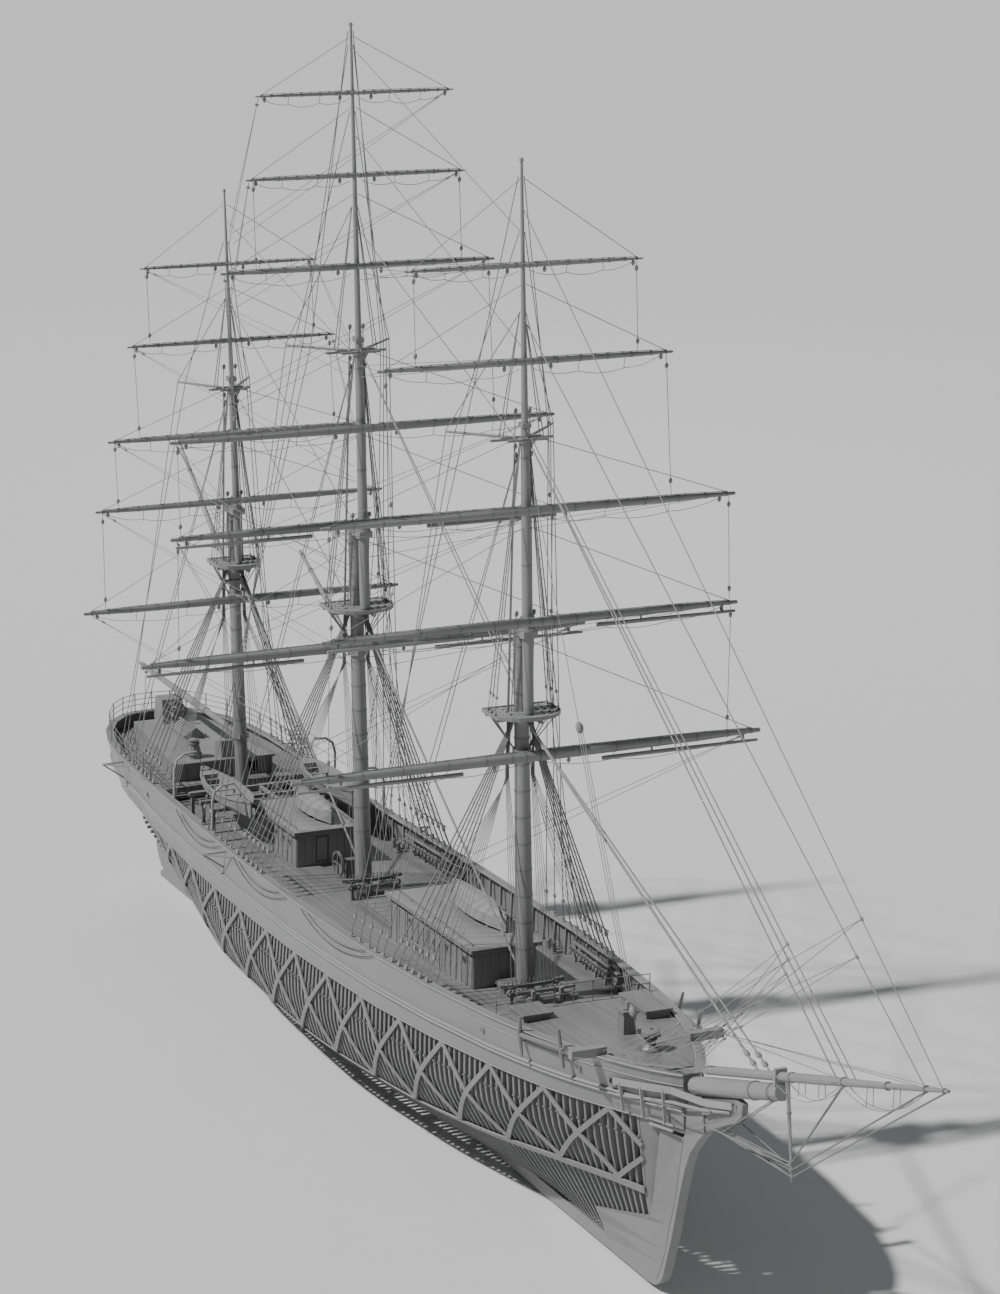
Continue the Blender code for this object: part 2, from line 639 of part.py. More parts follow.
def plating():
    """Bulwark, mouldings, rail cap and sheer plates in one band round the ship."""
    profile = ((0.00, -0.34), (0.00, 0.06), (0.10, 0.06), (0.10, 0.0), (0.62, 0.0), (1.42, 0.0),
               (1.50, 0.07), (1.68, 0.07),
               (1.74, 0.0), (2.15, 0.0), (2.55, 0.0), (2.55, -PLATING_THICKNESS), (1.42, -PLATING_THICKNESS),
               (0.10, -PLATING_THICKNESS), (0.10, -0.34))
    loops = [plan_loop(depth, offset) for depth, offset in profile]
    count = len(loops[0])
    points = []
    for k, (depth, _) in enumerate(profile):
        points += [(x, y, rail_z(x) - depth) for x, y in loops[k]]
    faces = []
    for k in range(len(profile)):
        m = (k + 1) % len(profile)
        for i in range(count):
            j = (i + 1) % count
            faces.append((k * count + i, k * count + j, m * count + j, m * count + i))
    heads = []
    x = 27.4
    z = rail_z(x) - 0.04
    for s in (-1, 1):
        y = sorted((s * (side_at(x, 0.0) - 0.5), s * (side_at(x, 0.0) + 1.2)))
        heads.append(box(x - 0.2, x + 0.2, y[0], y[1], z, z + 0.40))
    return make("sheer_plating", "plating", [(points, faces)] + heads)


def deck_slab(stations, depth, thickness, camber):
    """A cambered deck through stations of (x, half breadth)."""
    fractions = (-1.0, -0.5, 0.0, 0.5, 1.0)
    top = []
    under = []
    for x, half in stations:
        for f in fractions:
            z = rail_z(x) - depth + camber * (1 - f * f)
            top.append((x, f * half, z))
            under.append((x, f * half, z - thickness))
    width = len(fractions)
    faces = []
    for i in range(len(stations) - 1):
        for k in range(width - 1):
            faces.append((i * width + k, i * width + k + 1, (i + 1) * width + k + 1, (i + 1) * width + k))
    return sheet_solid(top, under, faces)


def inside_plating(depth, thickness, first_x, last_x):
    """Stations of a deck that ends just inside the plating, at the narrower of its two faces."""
    lines = []
    for level in (depth, depth + thickness):
        side = plan_loop(level, -PLATING_THICKNESS - 0.036, half=True)[:-1]
        side.reverse()
        lines.append(([x for x, _ in side], [-y for _, y in side]))

    def half(x):
        return min(float(np.interp(x, xs, ys)) for xs, ys in lines)

    marks = [x for x in lines[0][0] if first_x + 0.3 < x < last_x - 0.3]
    return [(x, half(x)) for x in (first_x, *marks, last_x)]


def mast_holes(depth, masts):
    """Cutters for the masts that pass through a deck."""
    cutters = []
    for mast in masts:
        z = rail_z(mast.x) - depth
        foot = (mast.lower_x(z - 1.2), 0.0, z - 1.2)
        head = (mast.lower_x(z + 1.2), 0.0, z + 1.2)
        cutters.append(spar([foot, head], [mast.radii[0] + RUNNING_GAP] * 2, 12))
    return cutters


class Deck:
    """A cambered deck between stations, whose surface can be asked for."""

    def __init__(self, stations, depth, thickness, camber):
        self.stations = stations
        self.depth = depth
        self.thickness = thickness
        self.camber = camber

    def slab(self):
        return deck_slab(self.stations, self.depth, self.thickness, self.camber)

    def half(self, x):
        """Half breadth as built."""
        return float(np.interp(x, *zip(*self.stations)))

    def top(self, x, y=0.0):
        """Height of the surface as built."""
        xs = [x for x, _ in self.stations]
        line = float(np.interp(x, xs, [rail_z(x) for x in xs])) - self.depth
        share = min(abs(y) / self.half(x), 1.0)
        crown = self.camber * (1.0 - 0.5 * share if share < 0.5 else 1.5 * (1.0 - share))
        return line + crown


def hatch(x0, x1, half, z, height):
    """A hatch coaming with its cover."""
    coaming = box(x0, x1, -half, half, z, z + height)
    lid = box(x0 - 0.06, x1 + 0.06, -half - 0.06, half + 0.06, z + height * 0.6, z + height * 0.85)
    return [coaming, lid]


def fife_rail(x, half, floor):
    """The curved pin rail abaft or before a mast, on its two posts."""
    posts = [box(x - 0.10, x + 0.10, s * 1.15 - 0.10, s * 1.15 + 0.10, floor - 0.08, floor + 1.0)
             for s in (-1, 1)]
    outline = [(x - 0.14, -half - 0.2), (x + 0.10, -half * 0.6), (x + 0.16, 0.0), (x + 0.10, half * 0.6),
               (x - 0.14, half + 0.2), (x - 0.34, half + 0.2), (x - 0.14, half * 0.6), (x - 0.08, 0.0),
               (x - 0.14, -half * 0.6), (x - 0.34, -half - 0.2)]
    return [plate(outline, floor + 0.90, floor + 1.06)] + posts


def main_deck_line():
    return Deck(inside_plating(DECK_DEPTH, DECK_THICKNESS, -33.3, 30.6), DECK_DEPTH, DECK_THICKNESS, CAMBER)


def quarterdeck_line():
    return Deck(inside_plating(QUARTERDECK_DEPTH, 0.10, -34.7, -22.6), QUARTERDECK_DEPTH, 0.10, 0.12)


def decks():
    """The decks, each with the hatches and small houses that are built on it."""
    main = main_deck_line()
    built = hatch(-1.0, 3.0, 1.45, main.top(1.0) - 0.08, 0.55)
    built += fife_rail(16.0, 1.45, main.top(16.0)) + fife_rail(-2.75, 1.45, main.top(-2.75))
    axle_z = main.top(PUMP_X) + 0.95
    built.append(box(PUMP_X - 0.2, PUMP_X + 0.2, -0.25, 0.35, axle_z - 1.02, axle_z + 0.2))
    bore = spar([(PUMP_X, -1.2, axle_z), (PUMP_X, 1.2, axle_z)], [0.075 + RUNNING_GAP] * 2, 12)
    make("main_deck", "deck", [main.slab()] + built, mast_holes(DECK_DEPTH, (FORE, MAIN, MIZZEN)) + [bore])
    x0, x1, half = 13.3, 14.1, 0.6
    low = [main.top(x, 0.0) + GAP for x in (x0, x1)]
    coaming = [(x0, low[0]), (x1, low[1]), (x1, low[1] + 0.42), (x0, low[1] + 0.42)]
    lid = box(x0 - 0.06, x1 + 0.06, -half - 0.06, half + 0.06, low[1] + 0.22, low[1] + 0.35)
    make("fore_hatch", "deck", [prism(coaming, -half, half), lid])
    wheel = [ring_about((PUMP_X, -0.62, axle_z), Vector((0, 1, 0)), 0.56, 0.68, 0.10, 20),
             spar([(PUMP_X, -0.7, axle_z), (PUMP_X, 0.5, axle_z)], [0.075, 0.075], 12),
             box(PUMP_X - 0.04, PUMP_X + 0.04, -0.66, -0.58, axle_z - 0.62, axle_z + 0.62),
             box(PUMP_X - 0.62, PUMP_X + 0.62, -0.655, -0.585, axle_z - 0.04, axle_z + 0.04)]
    make("pump_flywheel", "iron", wheel, pivot=(PUMP_X, 0.0, axle_z), parent=BODIES["pump"])

    inset = FRAME_OUTSET + FRAME_DEPTH + GAP
    stations = []
    for i in range(0, FRAME_COUNT, 2):
        x = FRAME_FIRST_X + (FRAME_LAST_X - FRAME_FIRST_X) * i / (FRAME_COUNT - 1)
        z = rail_z(x) - LOWER_DECK_DEPTH
        ends = [half_breadth(x + s * FRAME_HALF_WIDTH, up, inset) for s in (-1, 1)
                for up in (z, z - DECK_THICKNESS)]
        stations.append((x, min(ends)))
    slab = deck_slab(stations, LOWER_DECK_DEPTH, DECK_THICKNESS, 0.10)
    make("lower_deck", "deck", [slab], mast_holes(LOWER_DECK_DEPTH, (FORE, MAIN, MIZZEN)))

    slab = deck_slab(inside_plating(FORECASTLE_DEPTH, 0.10, 20.0, 30.5), FORECASTLE_DEPTH, 0.10, 0.10)
    floor = main.top(20.12, 0.9) + GAP
    ceiling = rail_z(20.0) - FORECASTLE_DEPTH
    built = [box(20.0, 20.12, s * 2.2 - 1.3, s * 2.2 + 1.3, floor, ceiling - 0.02) for s in (1, -1)]
    z = rail_z(21.0) - FORECASTLE_DEPTH - 0.03
    built += [box(20.3, 21.7, -3.25, -1.9, z, z + 0.42), box(20.2, 21.8, -3.35, -1.8, z + 0.36, z + 0.46)]
    z = rail_z(22.5) - FORECASTLE_DEPTH - 0.03
    built += [box(21.2, 23.7, 1.9, 3.1, z - 0.05, z + 0.52), box(21.1, 23.8, 1.8, 3.2, z + 0.46, z + 0.56)]
    z = rail_z(25.1) - FORECASTLE_DEPTH
    built += [box(24.8, 25.4, -0.12, 0.48, z, z + 1.15), box(24.7, 25.5, -0.22, 0.58, z + 1.1, z + 1.22)]
    z = rail_z(CAPSTAN_X) - FORECASTLE_DEPTH + 0.10
    built.append(spar([(CAPSTAN_X, 0, up) for up in (z - 0.07, z + 0.09 - RUNNING_GAP)], [0.50, 0.50], 12))
    built.append(spar([(CAPSTAN_X, 0, up) for up in (z, z + 1.04)], [0.07, 0.07], 12))
    make("forecastle_deck", "deck", [slab] + built)
    barrel = turned((CAPSTAN_X, 0.0, z + 0.09), CAPSTAN_PROFILE)
    make("capstan", "iron", [barrel], pivot=(CAPSTAN_X, 0.0, z), parent=BODIES["capstan"])

    riser = box(-22.72, -22.6, -4.3, 4.3, main.top(-22.72) + GAP, rail_z(-22.6) - QUARTERDECK_DEPTH - 0.01)
    make("quarterdeck", "deck", [quarterdeck_line().slab(), riser])


# Deckhouses

def walls(x0, x1, half0, half1, deck, roof, thickness, roofed=0.0):
    """Hollow walls that stand on a deck, closed above by a flat top if roofed."""
    marks = [x for x, _ in deck.stations if x0 + 0.2 < x < x1 - 0.2]
    outline = house_outline(x0, x1, half0, half1, deck, marks)
    inner = house_outline(x0 + thickness, x1 - thickness, half0 - thickness, half1 - thickness, deck, marks)
    n = len(outline)
    points = [(x, y, deck.top(x, y) + 1.5 * GAP) for x, y in outline + inner]
    points += [(x, y, roof) for x, y in outline] + [(x, y, roof - roofed) for x, y in inner]
    faces = []
    for i in range(n):
        j = (i + 1) % n
        faces += [(i, j, 2 * n + j, 2 * n + i), (n + i, 3 * n + i, 3 * n + j, n + j), (i, n + i, n + j, j)]
        if not roofed:
            faces.append((2 * n + i, 2 * n + j, 3 * n + j, 3 * n + i))
    if roofed:
        faces.append(tuple(range(2 * n, 3 * n)))
        faces.append(tuple(reversed(range(3 * n, 4 * n))))
    return points, faces


def house_outline(x0, x1, half0, half1, deck, marks):
    """Plan of a house with a corner wherever the deck below it bends."""
    side = [(x, half0 + (half1 - half0) * (x - x0) / (x1 - x0)) for x in (x0, *marks, x1)]
    aft = min(deck.half(x0) / 2, half0 * 0.8)
    fore = min(deck.half(x1) / 2, half1 * 0.8)
    starboard = [(x, -y) for x, y in side] + [(x1, -fore), (x1, 0.0), (x1, fore)]
    return starboard + [(x, y) for x, y in reversed(side)] + [(x0, aft), (x0, 0.0), (x0, -aft)]


def roof_slab(x0, x1, half0, half1, z, over):
    rings = []
    for grow, up in ((over * 0.6, 0.0), (over, 0.07), (over, 0.15), (0.0, 0.22)):
        rings.append([(x0 - grow, -half0 - grow, z + up), (x1 + grow, -half1 - grow, z + up),
                      (x1 + grow, half1 + grow, z + up), (x0 - grow, half0 + grow, z + up)])
    return loft(rings)


def door_leaf(name, body, hinge, opening, z0, z1, thickness=0.06):
    """A door leaf flush with its wall: hinged at one jamb, running along the opening's direction."""
    hx, hy = hinge
    ux, uy, width, nx, ny = opening
    corners = []
    for a, b in ((0.0, 0.0), (width, 0.0), (width, -thickness), (0.0, -thickness)):
        corners.append((hx + ux * a + nx * b, hy + uy * a + ny * b))
    knuckles = [spar([(hx, hy, z + up) for up in (0.0, 0.18)], [DOOR_GAP - RUNNING_GAP] * 2, 8)
                for z in (z0 + 0.1, z1 - 0.28)]
    make(name, "joinery", [plate(corners, z0, z1)] + knuckles, pivot=(hx, hy, (z0 + z1) / 2),
         parent=BODIES[body])


def houses_and_boats():
    """Two deckhouses with doors, the boats turned over on their roofs and the boats on skids."""
    deck = main_deck_line()
    roof = FORE_ROOF
    x0, x1, half0, half1 = 3.7, 12.8, 1.85, 1.60
    side = -(half0 + (half1 - half0) * (FORE_DOOR_X[0] + 0.3 - x0) / (x1 - x0))
    sill = deck.top(FORE_DOOR_X[1], side) + 0.16
    lintel = roof - 0.22
    cut = box(FORE_DOOR_X[0], FORE_DOOR_X[1], side - 0.4, side + 0.4, sill, lintel)
    shell = walls(x0, x1, half0, half1, deck, roof - GAP, 0.12)
    make("fore_deckhouse_walls", "joinery", [shell], [cut])
    make("fore_deckhouse_roof", "joinery", [roof_slab(x0, x1, half0, half1, roof, 0.22)])
    slope = (half0 - half1) / (x1 - x0)
    run = math.hypot(1.0, slope)
    start = (FORE_DOOR_X[0] + DOOR_GAP, -(half0 - slope * (FORE_DOOR_X[0] + DOOR_GAP - x0)))
    width = (FORE_DOOR_X[1] - FORE_DOOR_X[0] - 2 * DOOR_GAP) * run
    door_leaf("fore_deckhouse_door", "fore_door", start, (1 / run, slope / run, width, slope / run, -1 / run),
              sill + DOOR_GAP, lintel - DOOR_GAP)

    roof = AFT_ROOF
    x0, x1, half0, half1 = -14.6, -9.0, 1.70, 1.62
    sill = deck.top(x1) + 0.16
    lintel = roof - 0.20
    cut = box(x1 - 0.4, x1 + 0.4, AFT_DOOR_Y[0], AFT_DOOR_Y[1], sill, lintel)
    shell = walls(x0, x1, half0, half1, deck, roof - GAP, 0.12)
    make("aft_deckhouse_walls", "joinery", [shell], [cut])
    make("aft_deckhouse_roof", "joinery", [roof_slab(x0, x1, half0, half1, roof, 0.22)])
    width = AFT_DOOR_Y[1] - AFT_DOOR_Y[0] - 2 * DOOR_GAP
    door_leaf("aft_deckhouse_door", "aft_door", (x1, AFT_DOOR_Y[0] + DOOR_GAP), (0.0, 1.0, width, 1.0, 0.0),
              sill + DOOR_GAP, lintel - DOOR_GAP)

    for name, low, first, last, y, beam in (("upturned_boat_fore", FORE_ROOF, 5.2, 11.4, 0.75, 1.7),
                                            ("upturned_boat_aft", AFT_ROOF, -14.0, -9.3, 0.45, 1.5)):
        top = low + 0.22 + GAP
        hull = boat_shape(first, last, y, top + 0.98, beam, 0.86, True)
        chocks = [box(x - 0.10, x + 0.10, y - 0.5, y + 0.5, top, top + 0.3)
                  for x in (first + 1.2, last - 1.2)]
        make(name, "joinery", [hull] + chocks)
    boats = []
    hollows = []
    for s in (-1, 1):
        boats.append(boat_shape(-19.3, -12.2, s * 2.9, 2.50, 1.8, 0.95, False))
        hollows.append(boat_hollow(-19.3, -12.2, s * 2.9, 2.50, 1.8, 0.95))
    beams = [box(-18.3, -14.95, -0.10, 0.10, 2.45, 2.57)]
    for x in (-18.2, -16.6, -15.05):
        beams.append(box(x - 0.10, x + 0.10, -4.1, 4.1, 2.42, 2.60))
        for s in (-1, 1):
            foot = deck.top(x, 3.81) + GAP
            beams.append(box(x - 0.09, x + 0.09, s * 3.9 - 0.09, s * 3.9 + 0.09, foot, 2.5))
    make("lifeboats_on_skids", "hull_timber", beams + boats, hollows)


def boat_rings(x0, x1, y, z, beam, depth, upturned):
    rings = []
    stations = 7
    sign = -1 if upturned else 1
    for i in range(stations):
        t = i / (stations - 1)
        x = x0 + (x1 - x0) * t
        full = max(1 - abs(2 * t - 1) ** 2.4, 0.06)
        w = beam / 2 * full
        rise = depth * 0.18 * abs(2 * t - 1) ** 2
        d = depth * (0.75 + 0.25 * full)
        heights = [depth + rise, depth - d * 0.55, depth - d * 0.93]
        ring = []
        for breadth, h in zip((w, w * 0.82, w * 0.25), heights):
            up = h - depth if upturned else h
            ring.append((x, breadth, z + sign * up))
        near = [(px, y - b, pz) for px, b, pz in ring]
        rings.append(near + [(px, y + b, pz) for px, b, pz in reversed(ring)])
    return rings


def boat_shape(x0, x1, y, z, beam, depth, upturned):
    """A ship's boat, plain outside, either way up; z is its keel, or its highest line if upturned."""
    if upturned:
        rings = boat_rings(x0, x1, y, z - depth * 0.9, beam, depth, True)
        return loft(rings)
    return loft(boat_rings(x0, x1, y, z, beam, depth, False))


def boat_hollow(x0, x1, y, z, beam, depth):
    """The space inside an open boat, to cut away."""
    cut = []
    for ring in boat_rings(x0, x1, y, z, beam, depth, False)[1:-1]:
        x = ring[0][0]
        w = (ring[-1][1] - ring[0][1]) / 2 - 0.09
        low = z + depth * 0.42
        top = ring[0][2] + 0.3
        cut.append([(x, y - w, top), (x, y - w * 0.72, low), (x, y + w * 0.72, low), (x, y + w, top)])
    return loft(cut)


def poop():
    """The low cabin trunk on the quarterdeck with skylight, companion, binnacle and wheel box."""
    roof = POOP_ROOF
    deck = quarterdeck_line()
    shell = walls(-32.6, -23.6, 2.0, 2.9, deck, roof, 0.14, 0.12)
    door = box(-24.0, -23.2, 1.3, 2.0, deck.top(-23.6) + 0.08, roof - 0.22)
    top = roof - 0.05
    light = [[(x, -0.55, top), (x, 0.55, top), (x, 0.55, top + 0.27), (x, 0.0, top + 0.62),
              (x, -0.55, top + 0.27)]
             for x in (-30.4, -28.1)]
    hood = [(-25.3, top), (-24.1, top), (-24.1, top + 1.0)]
    hood += [(-24.1 - 1.2 * math.sin(a), top + 0.35 + 0.65 * math.cos(a)) for a in (0.35, 0.8, 1.25)]
    stand = spar([(-24.8, -1.35, top + up) for up in (0.0, 0.2, 0.8, 1.0, 1.12)],
                 [0.50, 0.46, 0.33, 0.30, 0.12], 12)
    wheel_box = prism([(-33.0, top), (-31.4, top), (-31.7, top + 1.4), (-32.8, top + 1.4)], -0.62, 0.62)
    hub = top + 0.9
    bearing = box(-31.5, -31.14, -0.16, 0.16, top, hub + 0.16)
    bore = spar([(-31.6, 0.0, hub), (-30.5, 0.0, hub)], [0.07 + RUNNING_GAP] * 2, 12)
    make("poop_cabin", "joinery", [shell, loft(light), prism(hood, 0.05, 0.95), stand, wheel_box, bearing],
         [door, bore])
    rim = ring_about((WHEEL_X, 0.0, hub), Vector((1, 0, 0)), 0.46, 0.56, 0.08, 20)
    spokes = [box(WHEEL_X - 0.035, WHEEL_X + 0.035, -0.70, 0.70, hub - 0.035, hub + 0.035),
              box(WHEEL_X - 0.034, WHEEL_X + 0.034, -0.034, 0.034, hub - 0.70, hub + 0.70)]
    shaft = spar([(-31.40, 0.0, hub), (WHEEL_X + 0.1, 0.0, hub)], [0.07, 0.07], 12)
    make("steering_wheel", "joinery", [rim, shaft] + spokes, pivot=(WHEEL_X, 0.0, hub),
         parent=BODIES["wheel"])


def deck_gear():
    """The windlass and the winch at the main mast."""
    deck = main_deck_line()
    x = WINDLASS_X
    z = deck.top(x + 0.22, 0.63) + GAP
    carrier = [box(x - 0.18, x + 0.22, s * 0.72 - 0.09, s * 0.72 + 0.09, z, z + 1.15) for s in (-1, 1)]
    carrier.append(box(x - 0.18, x + 0.02, -1.5, 1.5, z + 1.0, z + 1.12))
    up = z + 0.62
    make("windlass_bitts", "hull_timber", carrier,
         [spar([(x, -2.0, up), (x, 2.0, up)], [0.085 + RUNNING_GAP] * 2, 12)])
    drums = [spar([(x, y, up) for y in (-1.55, -1.1, -0.86)], [0.26, 0.18, 0.26], 12),
             spar([(x, y, up) for y in (0.86, 1.1, 1.55)], [0.26, 0.18, 0.26], 12),
             spar([(x, y, up) for y in (-0.58, -0.45, 0.45, 0.58)], [0.30, 0.24, 0.24, 0.30], 12),
             spar([(x, -1.3, up), (x, 1.3, up)], [0.085, 0.085], 12)]
    make("windlass_barrel", "iron", drums, pivot=(x, 0.0, up), parent=BODIES["windlass"])
    x = -1.9
    z = deck.top(x + 0.25, 0.67) + GAP
    cheeks = [box(x - 0.25, x + 0.25, s * 0.75 - 0.08, s * 0.75 + 0.08, z, z + 1.0) for s in (-1, 1)]
    drum = spar([(x, y, z + 0.55) for y in (-1.35, -0.95, -0.6, 0.6, 0.95, 1.35)],
                [0.24, 0.17, 0.2, 0.2, 0.17, 0.24], 10)
    upper = spar([(x, -0.9, z + 0.9), (x, 0.9, z + 0.9)], [0.08, 0.08], 8)
    make("main_winch", "iron", cheeks + [drum, upper])


def ring_about(centre, axis, inner, outer, width, sides):
    """A rim round an axis."""
    side = Vector((1, 0, 0)) if abs(axis.x) < 0.9 else Vector((0, 1, 0))
    across = axis.cross(side).normalized()
    side = across.cross(axis).normalized()
    profile = ((inner, -width / 2), (outer, -width / 2), (outer, width / 2), (inner, width / 2))
    points = []
    for i in range(sides):
        angle = 2 * math.pi * i / sides
        arm = math.cos(angle) * side + math.sin(angle) * across
        points += [tuple(Vector(centre) + radius * arm + up * axis) for radius, up in profile]
    return points, wrapped_faces(sides, len(profile))


def turned(base, profile, sides=12):
    """A ring-shaped solid turned round the vertical through base."""
    points = []
    for i in range(sides):
        angle = 2 * math.pi * (i + 0.5) / sides
        points += [(base[0] + r * math.cos(angle), base[1] + r * math.sin(angle), base[2] + up)
                   for r, up in profile]
    return points, wrapped_faces(sides, len(profile))


def wrapped_faces(sides, count):
    faces = []
    for i in range(sides):
        j = (i + 1) % sides
        for k in range(count):
            m = (k + 1) % count
            faces.append((i * count + k, i * count + m, j * count + m, j * count + k))
    return faces


# Head, bowsprit and ground tackle

def along(line, share):
    return tuple(a + (b - a) * share for a, b in zip(*line))


def head():
    """Knee of the head, bowsprit with its cap, jib boom with the dolphin striker, anchors."""
    knee = [(33.306, 1.86), (34.2, 2.42), (35.0, 2.85), (35.8, 3.25), (36.35, 3.75), (36.40, 4.30),
            (35.9, 4.35),
            (34.4, bowsprit_under(34.4)), (33.006, bowsprit_under(33.006)), (33.256, 2.25)]
    boards = []
    for s in (-1, 1):
        boards.append(loft([[(x, s * y, z), (x, s * (y + 0.10), z + 0.02), (x, s * (y + 0.16), z + 0.36),
                             (x, s * (y + 0.06), z + 0.36)]
                            for x, y, z in ((33.4, 0.30, 2.75), (34.6, 0.16, 3.25), (35.9, 0.04, 3.72))]))
    rails = [box(34.0, 34.2, -0.45, 0.45, 3.15, 3.25)]
    make("head_knee", "hull_timber", [prism(knee, -0.14, 0.14)] + rails + boards)
    cap = box(39.08, 39.27, -0.28, 0.28, 5.80, 6.93)
    hole = spar([along(JIB_BOOM, 0.25), along(JIB_BOOM, 0.42)], [0.20 + RUNNING_GAP] * 2, 12)
    sprit = spar([along(BOWSPRIT, t) for t in (0.0, 0.6, 1.0)], [0.42, 0.40, 0.36], 12)
    make("bowsprit", "spar", [sprit, cap], [hole])
    striker = spar([(39.80, 0.0, 6.7), (40.47, 0.0, 2.62)], [0.10, 0.05], 6)
    boom = spar([along(JIB_BOOM, t) for t in (0.0, 0.35, 0.7, 1.0)], [0.20, 0.20, 0.15, 0.07], 12)
    make("jib_boom", "spar", [boom, striker])
    for label, s in (("starboard", -1), ("port", 1)):
        x = 24.4
        y = side_at(x, 0.0) + 0.50
        z = rail_z(x) - 0.30
        shank = spar([(x - 1.6, s * y, z), (x + 1.6, s * (y - 0.62), z + 0.32)], [0.11, 0.09], 6)
        arms = [spar([(x - 1.6, s * y, z), (x - 1.25, s * (y + 0.02), z - 0.95)], [0.12, 0.06], 6),
                spar([(x - 1.6, s * y, z), (x - 1.35, s * (y + 0.10), z + 0.95)], [0.12, 0.06], 6)]
        stock = spar([(x + 1.35, s * (y - 0.45), z + 1.2), (x + 1.45, s * (y - 0.70), z - 0.6)],
                     [0.09, 0.09], 6)
        make("anchor_" + label, "iron", [shank] + arms + [stock])


# Masts

def top_platform(mast, half):
    """The D-shaped top round the lower mast head."""
    z = mast.top_z
    x = mast.lower_x(z)
    outline = [(x - 0.75, -half), (x - 0.75, half)]
    for k in range(5):
        angle = math.radians(75 - 37.5 * k)
        outline.append((x + 0.35 + 1.25 * math.cos(angle), half * 1.04 * math.sin(angle)))
    return plate(outline, z - 0.06, z + 0.08)


def masts():
    for mast, half in ((FORE, 1.65), (MAIN, 1.70), (MIZZEN, 1.25)):
        r0, r1, r2, r3, r4, r5 = mast.radii
        foot_z = keel_bottom(mast.x) + KEEL_DEPTH + FRAME_DEPTH + 0.12
        points = [(mast.lower_x(z), 0.0, z) for z in (foot_z, 3.0, mast.top_z - 0.6, mast.cap_z + 0.18)]
        cap_z = mast.cap_z
        cap = box(mast.lower_x(cap_z) - 0.42, mast.upper_x(cap_z) + 0.36, -0.36, 0.36, cap_z - 0.16,
                  cap_z + 0.16)
        hole = spar([(mast.upper_x(z), 0.0, z) for z in (cap_z - 1.0, cap_z + 1.0)], [r2 + RUNNING_GAP] * 2,
                    12)
        make(mast.name + "_lower_mast", "spar",
             [spar(points, [r0, r0, r1, r1 * 0.86], 12), top_platform(mast, half), cap], [hole])
        heel = mast.top_z + 0.08 + mast.radii[2] * math.sin(mast.rake) + GAP
        cross = mast.cross_z
        x = mast.upper_x(cross)
        spreader = box(x - 0.42, x - 0.30, -half * 0.95, half * 0.95, cross - 0.06, cross + 0.05)
        trees = box(x - 0.50, x + 0.45, -0.30, 0.30, cross - 0.10, cross + 0.06)
        head = mast.head_z
        truck_z = mast.truck_z
        x = mast.upper_x(head)
        block = box(x - 0.24, x + 0.24, -0.22, 0.22, head - 0.22, head)
        points = [(mast.upper_x(z), 0.0, z) for z in (heel, mast.cap_z, head - 0.1)]
        pole = [(mast.upper_x(z), 0.0, z) for z in (head - 0.1, (head + truck_z) / 2, truck_z - 0.08)]
        truck = [(mast.upper_x(truck_z), 0.0, truck_z - z) for z in (0.14, 0.0)]
        make(mast.name + "_upper_mast", "spar",
             [spar(points, [r2, r2, r3], 12), trees, block, spar(pole, [r4, (r4 + r5) / 2, r5], 12),
              spar(truck, [r5 * 2, r5 * 1.2], 8), spreader])


def upper_radius(mast, z):
    """Radius of the topmast or the pole at a height."""
    r2, r3, r4, r5 = mast.radii[2:]
    if z < mast.head_z:
        t = max((z - mast.cap_z) / (mast.head_z - mast.cap_z), 0.0)
        return r2 + (r3 - r2) * t
    t = (z - mast.head_z) / (mast.truck_z - mast.head_z)
    return r4 + (r5 - r4) * t


def lower_radius(mast, z):
    r0, r1 = mast.radii[:2]
    t = min(max((z - 3.0) / (mast.top_z - 0.6 - 3.0), 0.0), 1.0)
    return r0 + (r1 - r0) * t


def yard(mast, label, z, length, ahead, radius):
    """A yard with the arm and the collar that it turns on."""
    course = label == "course"
    x = mast.lower_x(z) if course else mast.upper_x(z)
    inside = (lower_radius(mast, z) if course else upper_radius(mast, z)) + RUNNING_GAP
    collar_inner = inside / math.cos(math.pi / 8)
    collar_outer = collar_inner + 0.07
    collar = ring_shape((x, 0.0, z), mast.axis(), collar_inner, collar_outer, 0.20, 8)
    reach = max(ahead, collar_outer + radius * 0.9)
    arm = box(x + collar_inner + 0.01, x + reach, -0.09, 0.09, z - 0.08, z + 0.08)
    shares = (-1.0, -0.72, -0.12, 0.12, 0.72, 1.0)
    sizes = (0.42, 0.78, 1.0, 1.0, 0.78, 0.42)
    tube = spar([(x + reach, s * length / 2, z) for s in shares], [radius * k for k in sizes], 6)
    make(f"{mast.name}_{label}_yard", "spar", [tube, arm, collar], pivot=(x, 0.0, z),
         parent=BODIES[f"{mast.name}_{label}"])


def gaff(name, body, mast, ring_z, tip, radius):
    """A gaff or boom that turns on a collar round the lower mast."""
    x = mast.lower_x(ring_z)
    inside = lower_radius(mast, ring_z) + RUNNING_GAP
    slope = math.atan2(tip[2] - ring_z, x - tip[0])
    reach = radius * 0.8 * math.sin(slope)
    collar_inner = inside / math.cos(math.pi / 8)
    collar = ring_shape((x, 0.0, ring_z), mast.axis(), collar_inner, collar_inner + 0.09 + reach, 0.24, 8)
    start = (x - inside - 0.05 - reach, 0.0, ring_z)
    middle = along((start, tip), 0.5)
    stick = spar([start, middle, tip], [radius * 0.8, radius, radius * 0.55], 8)
    make(name, "spar", [collar, stick], pivot=(x, 0.0, ring_z), parent=BODIES[body])


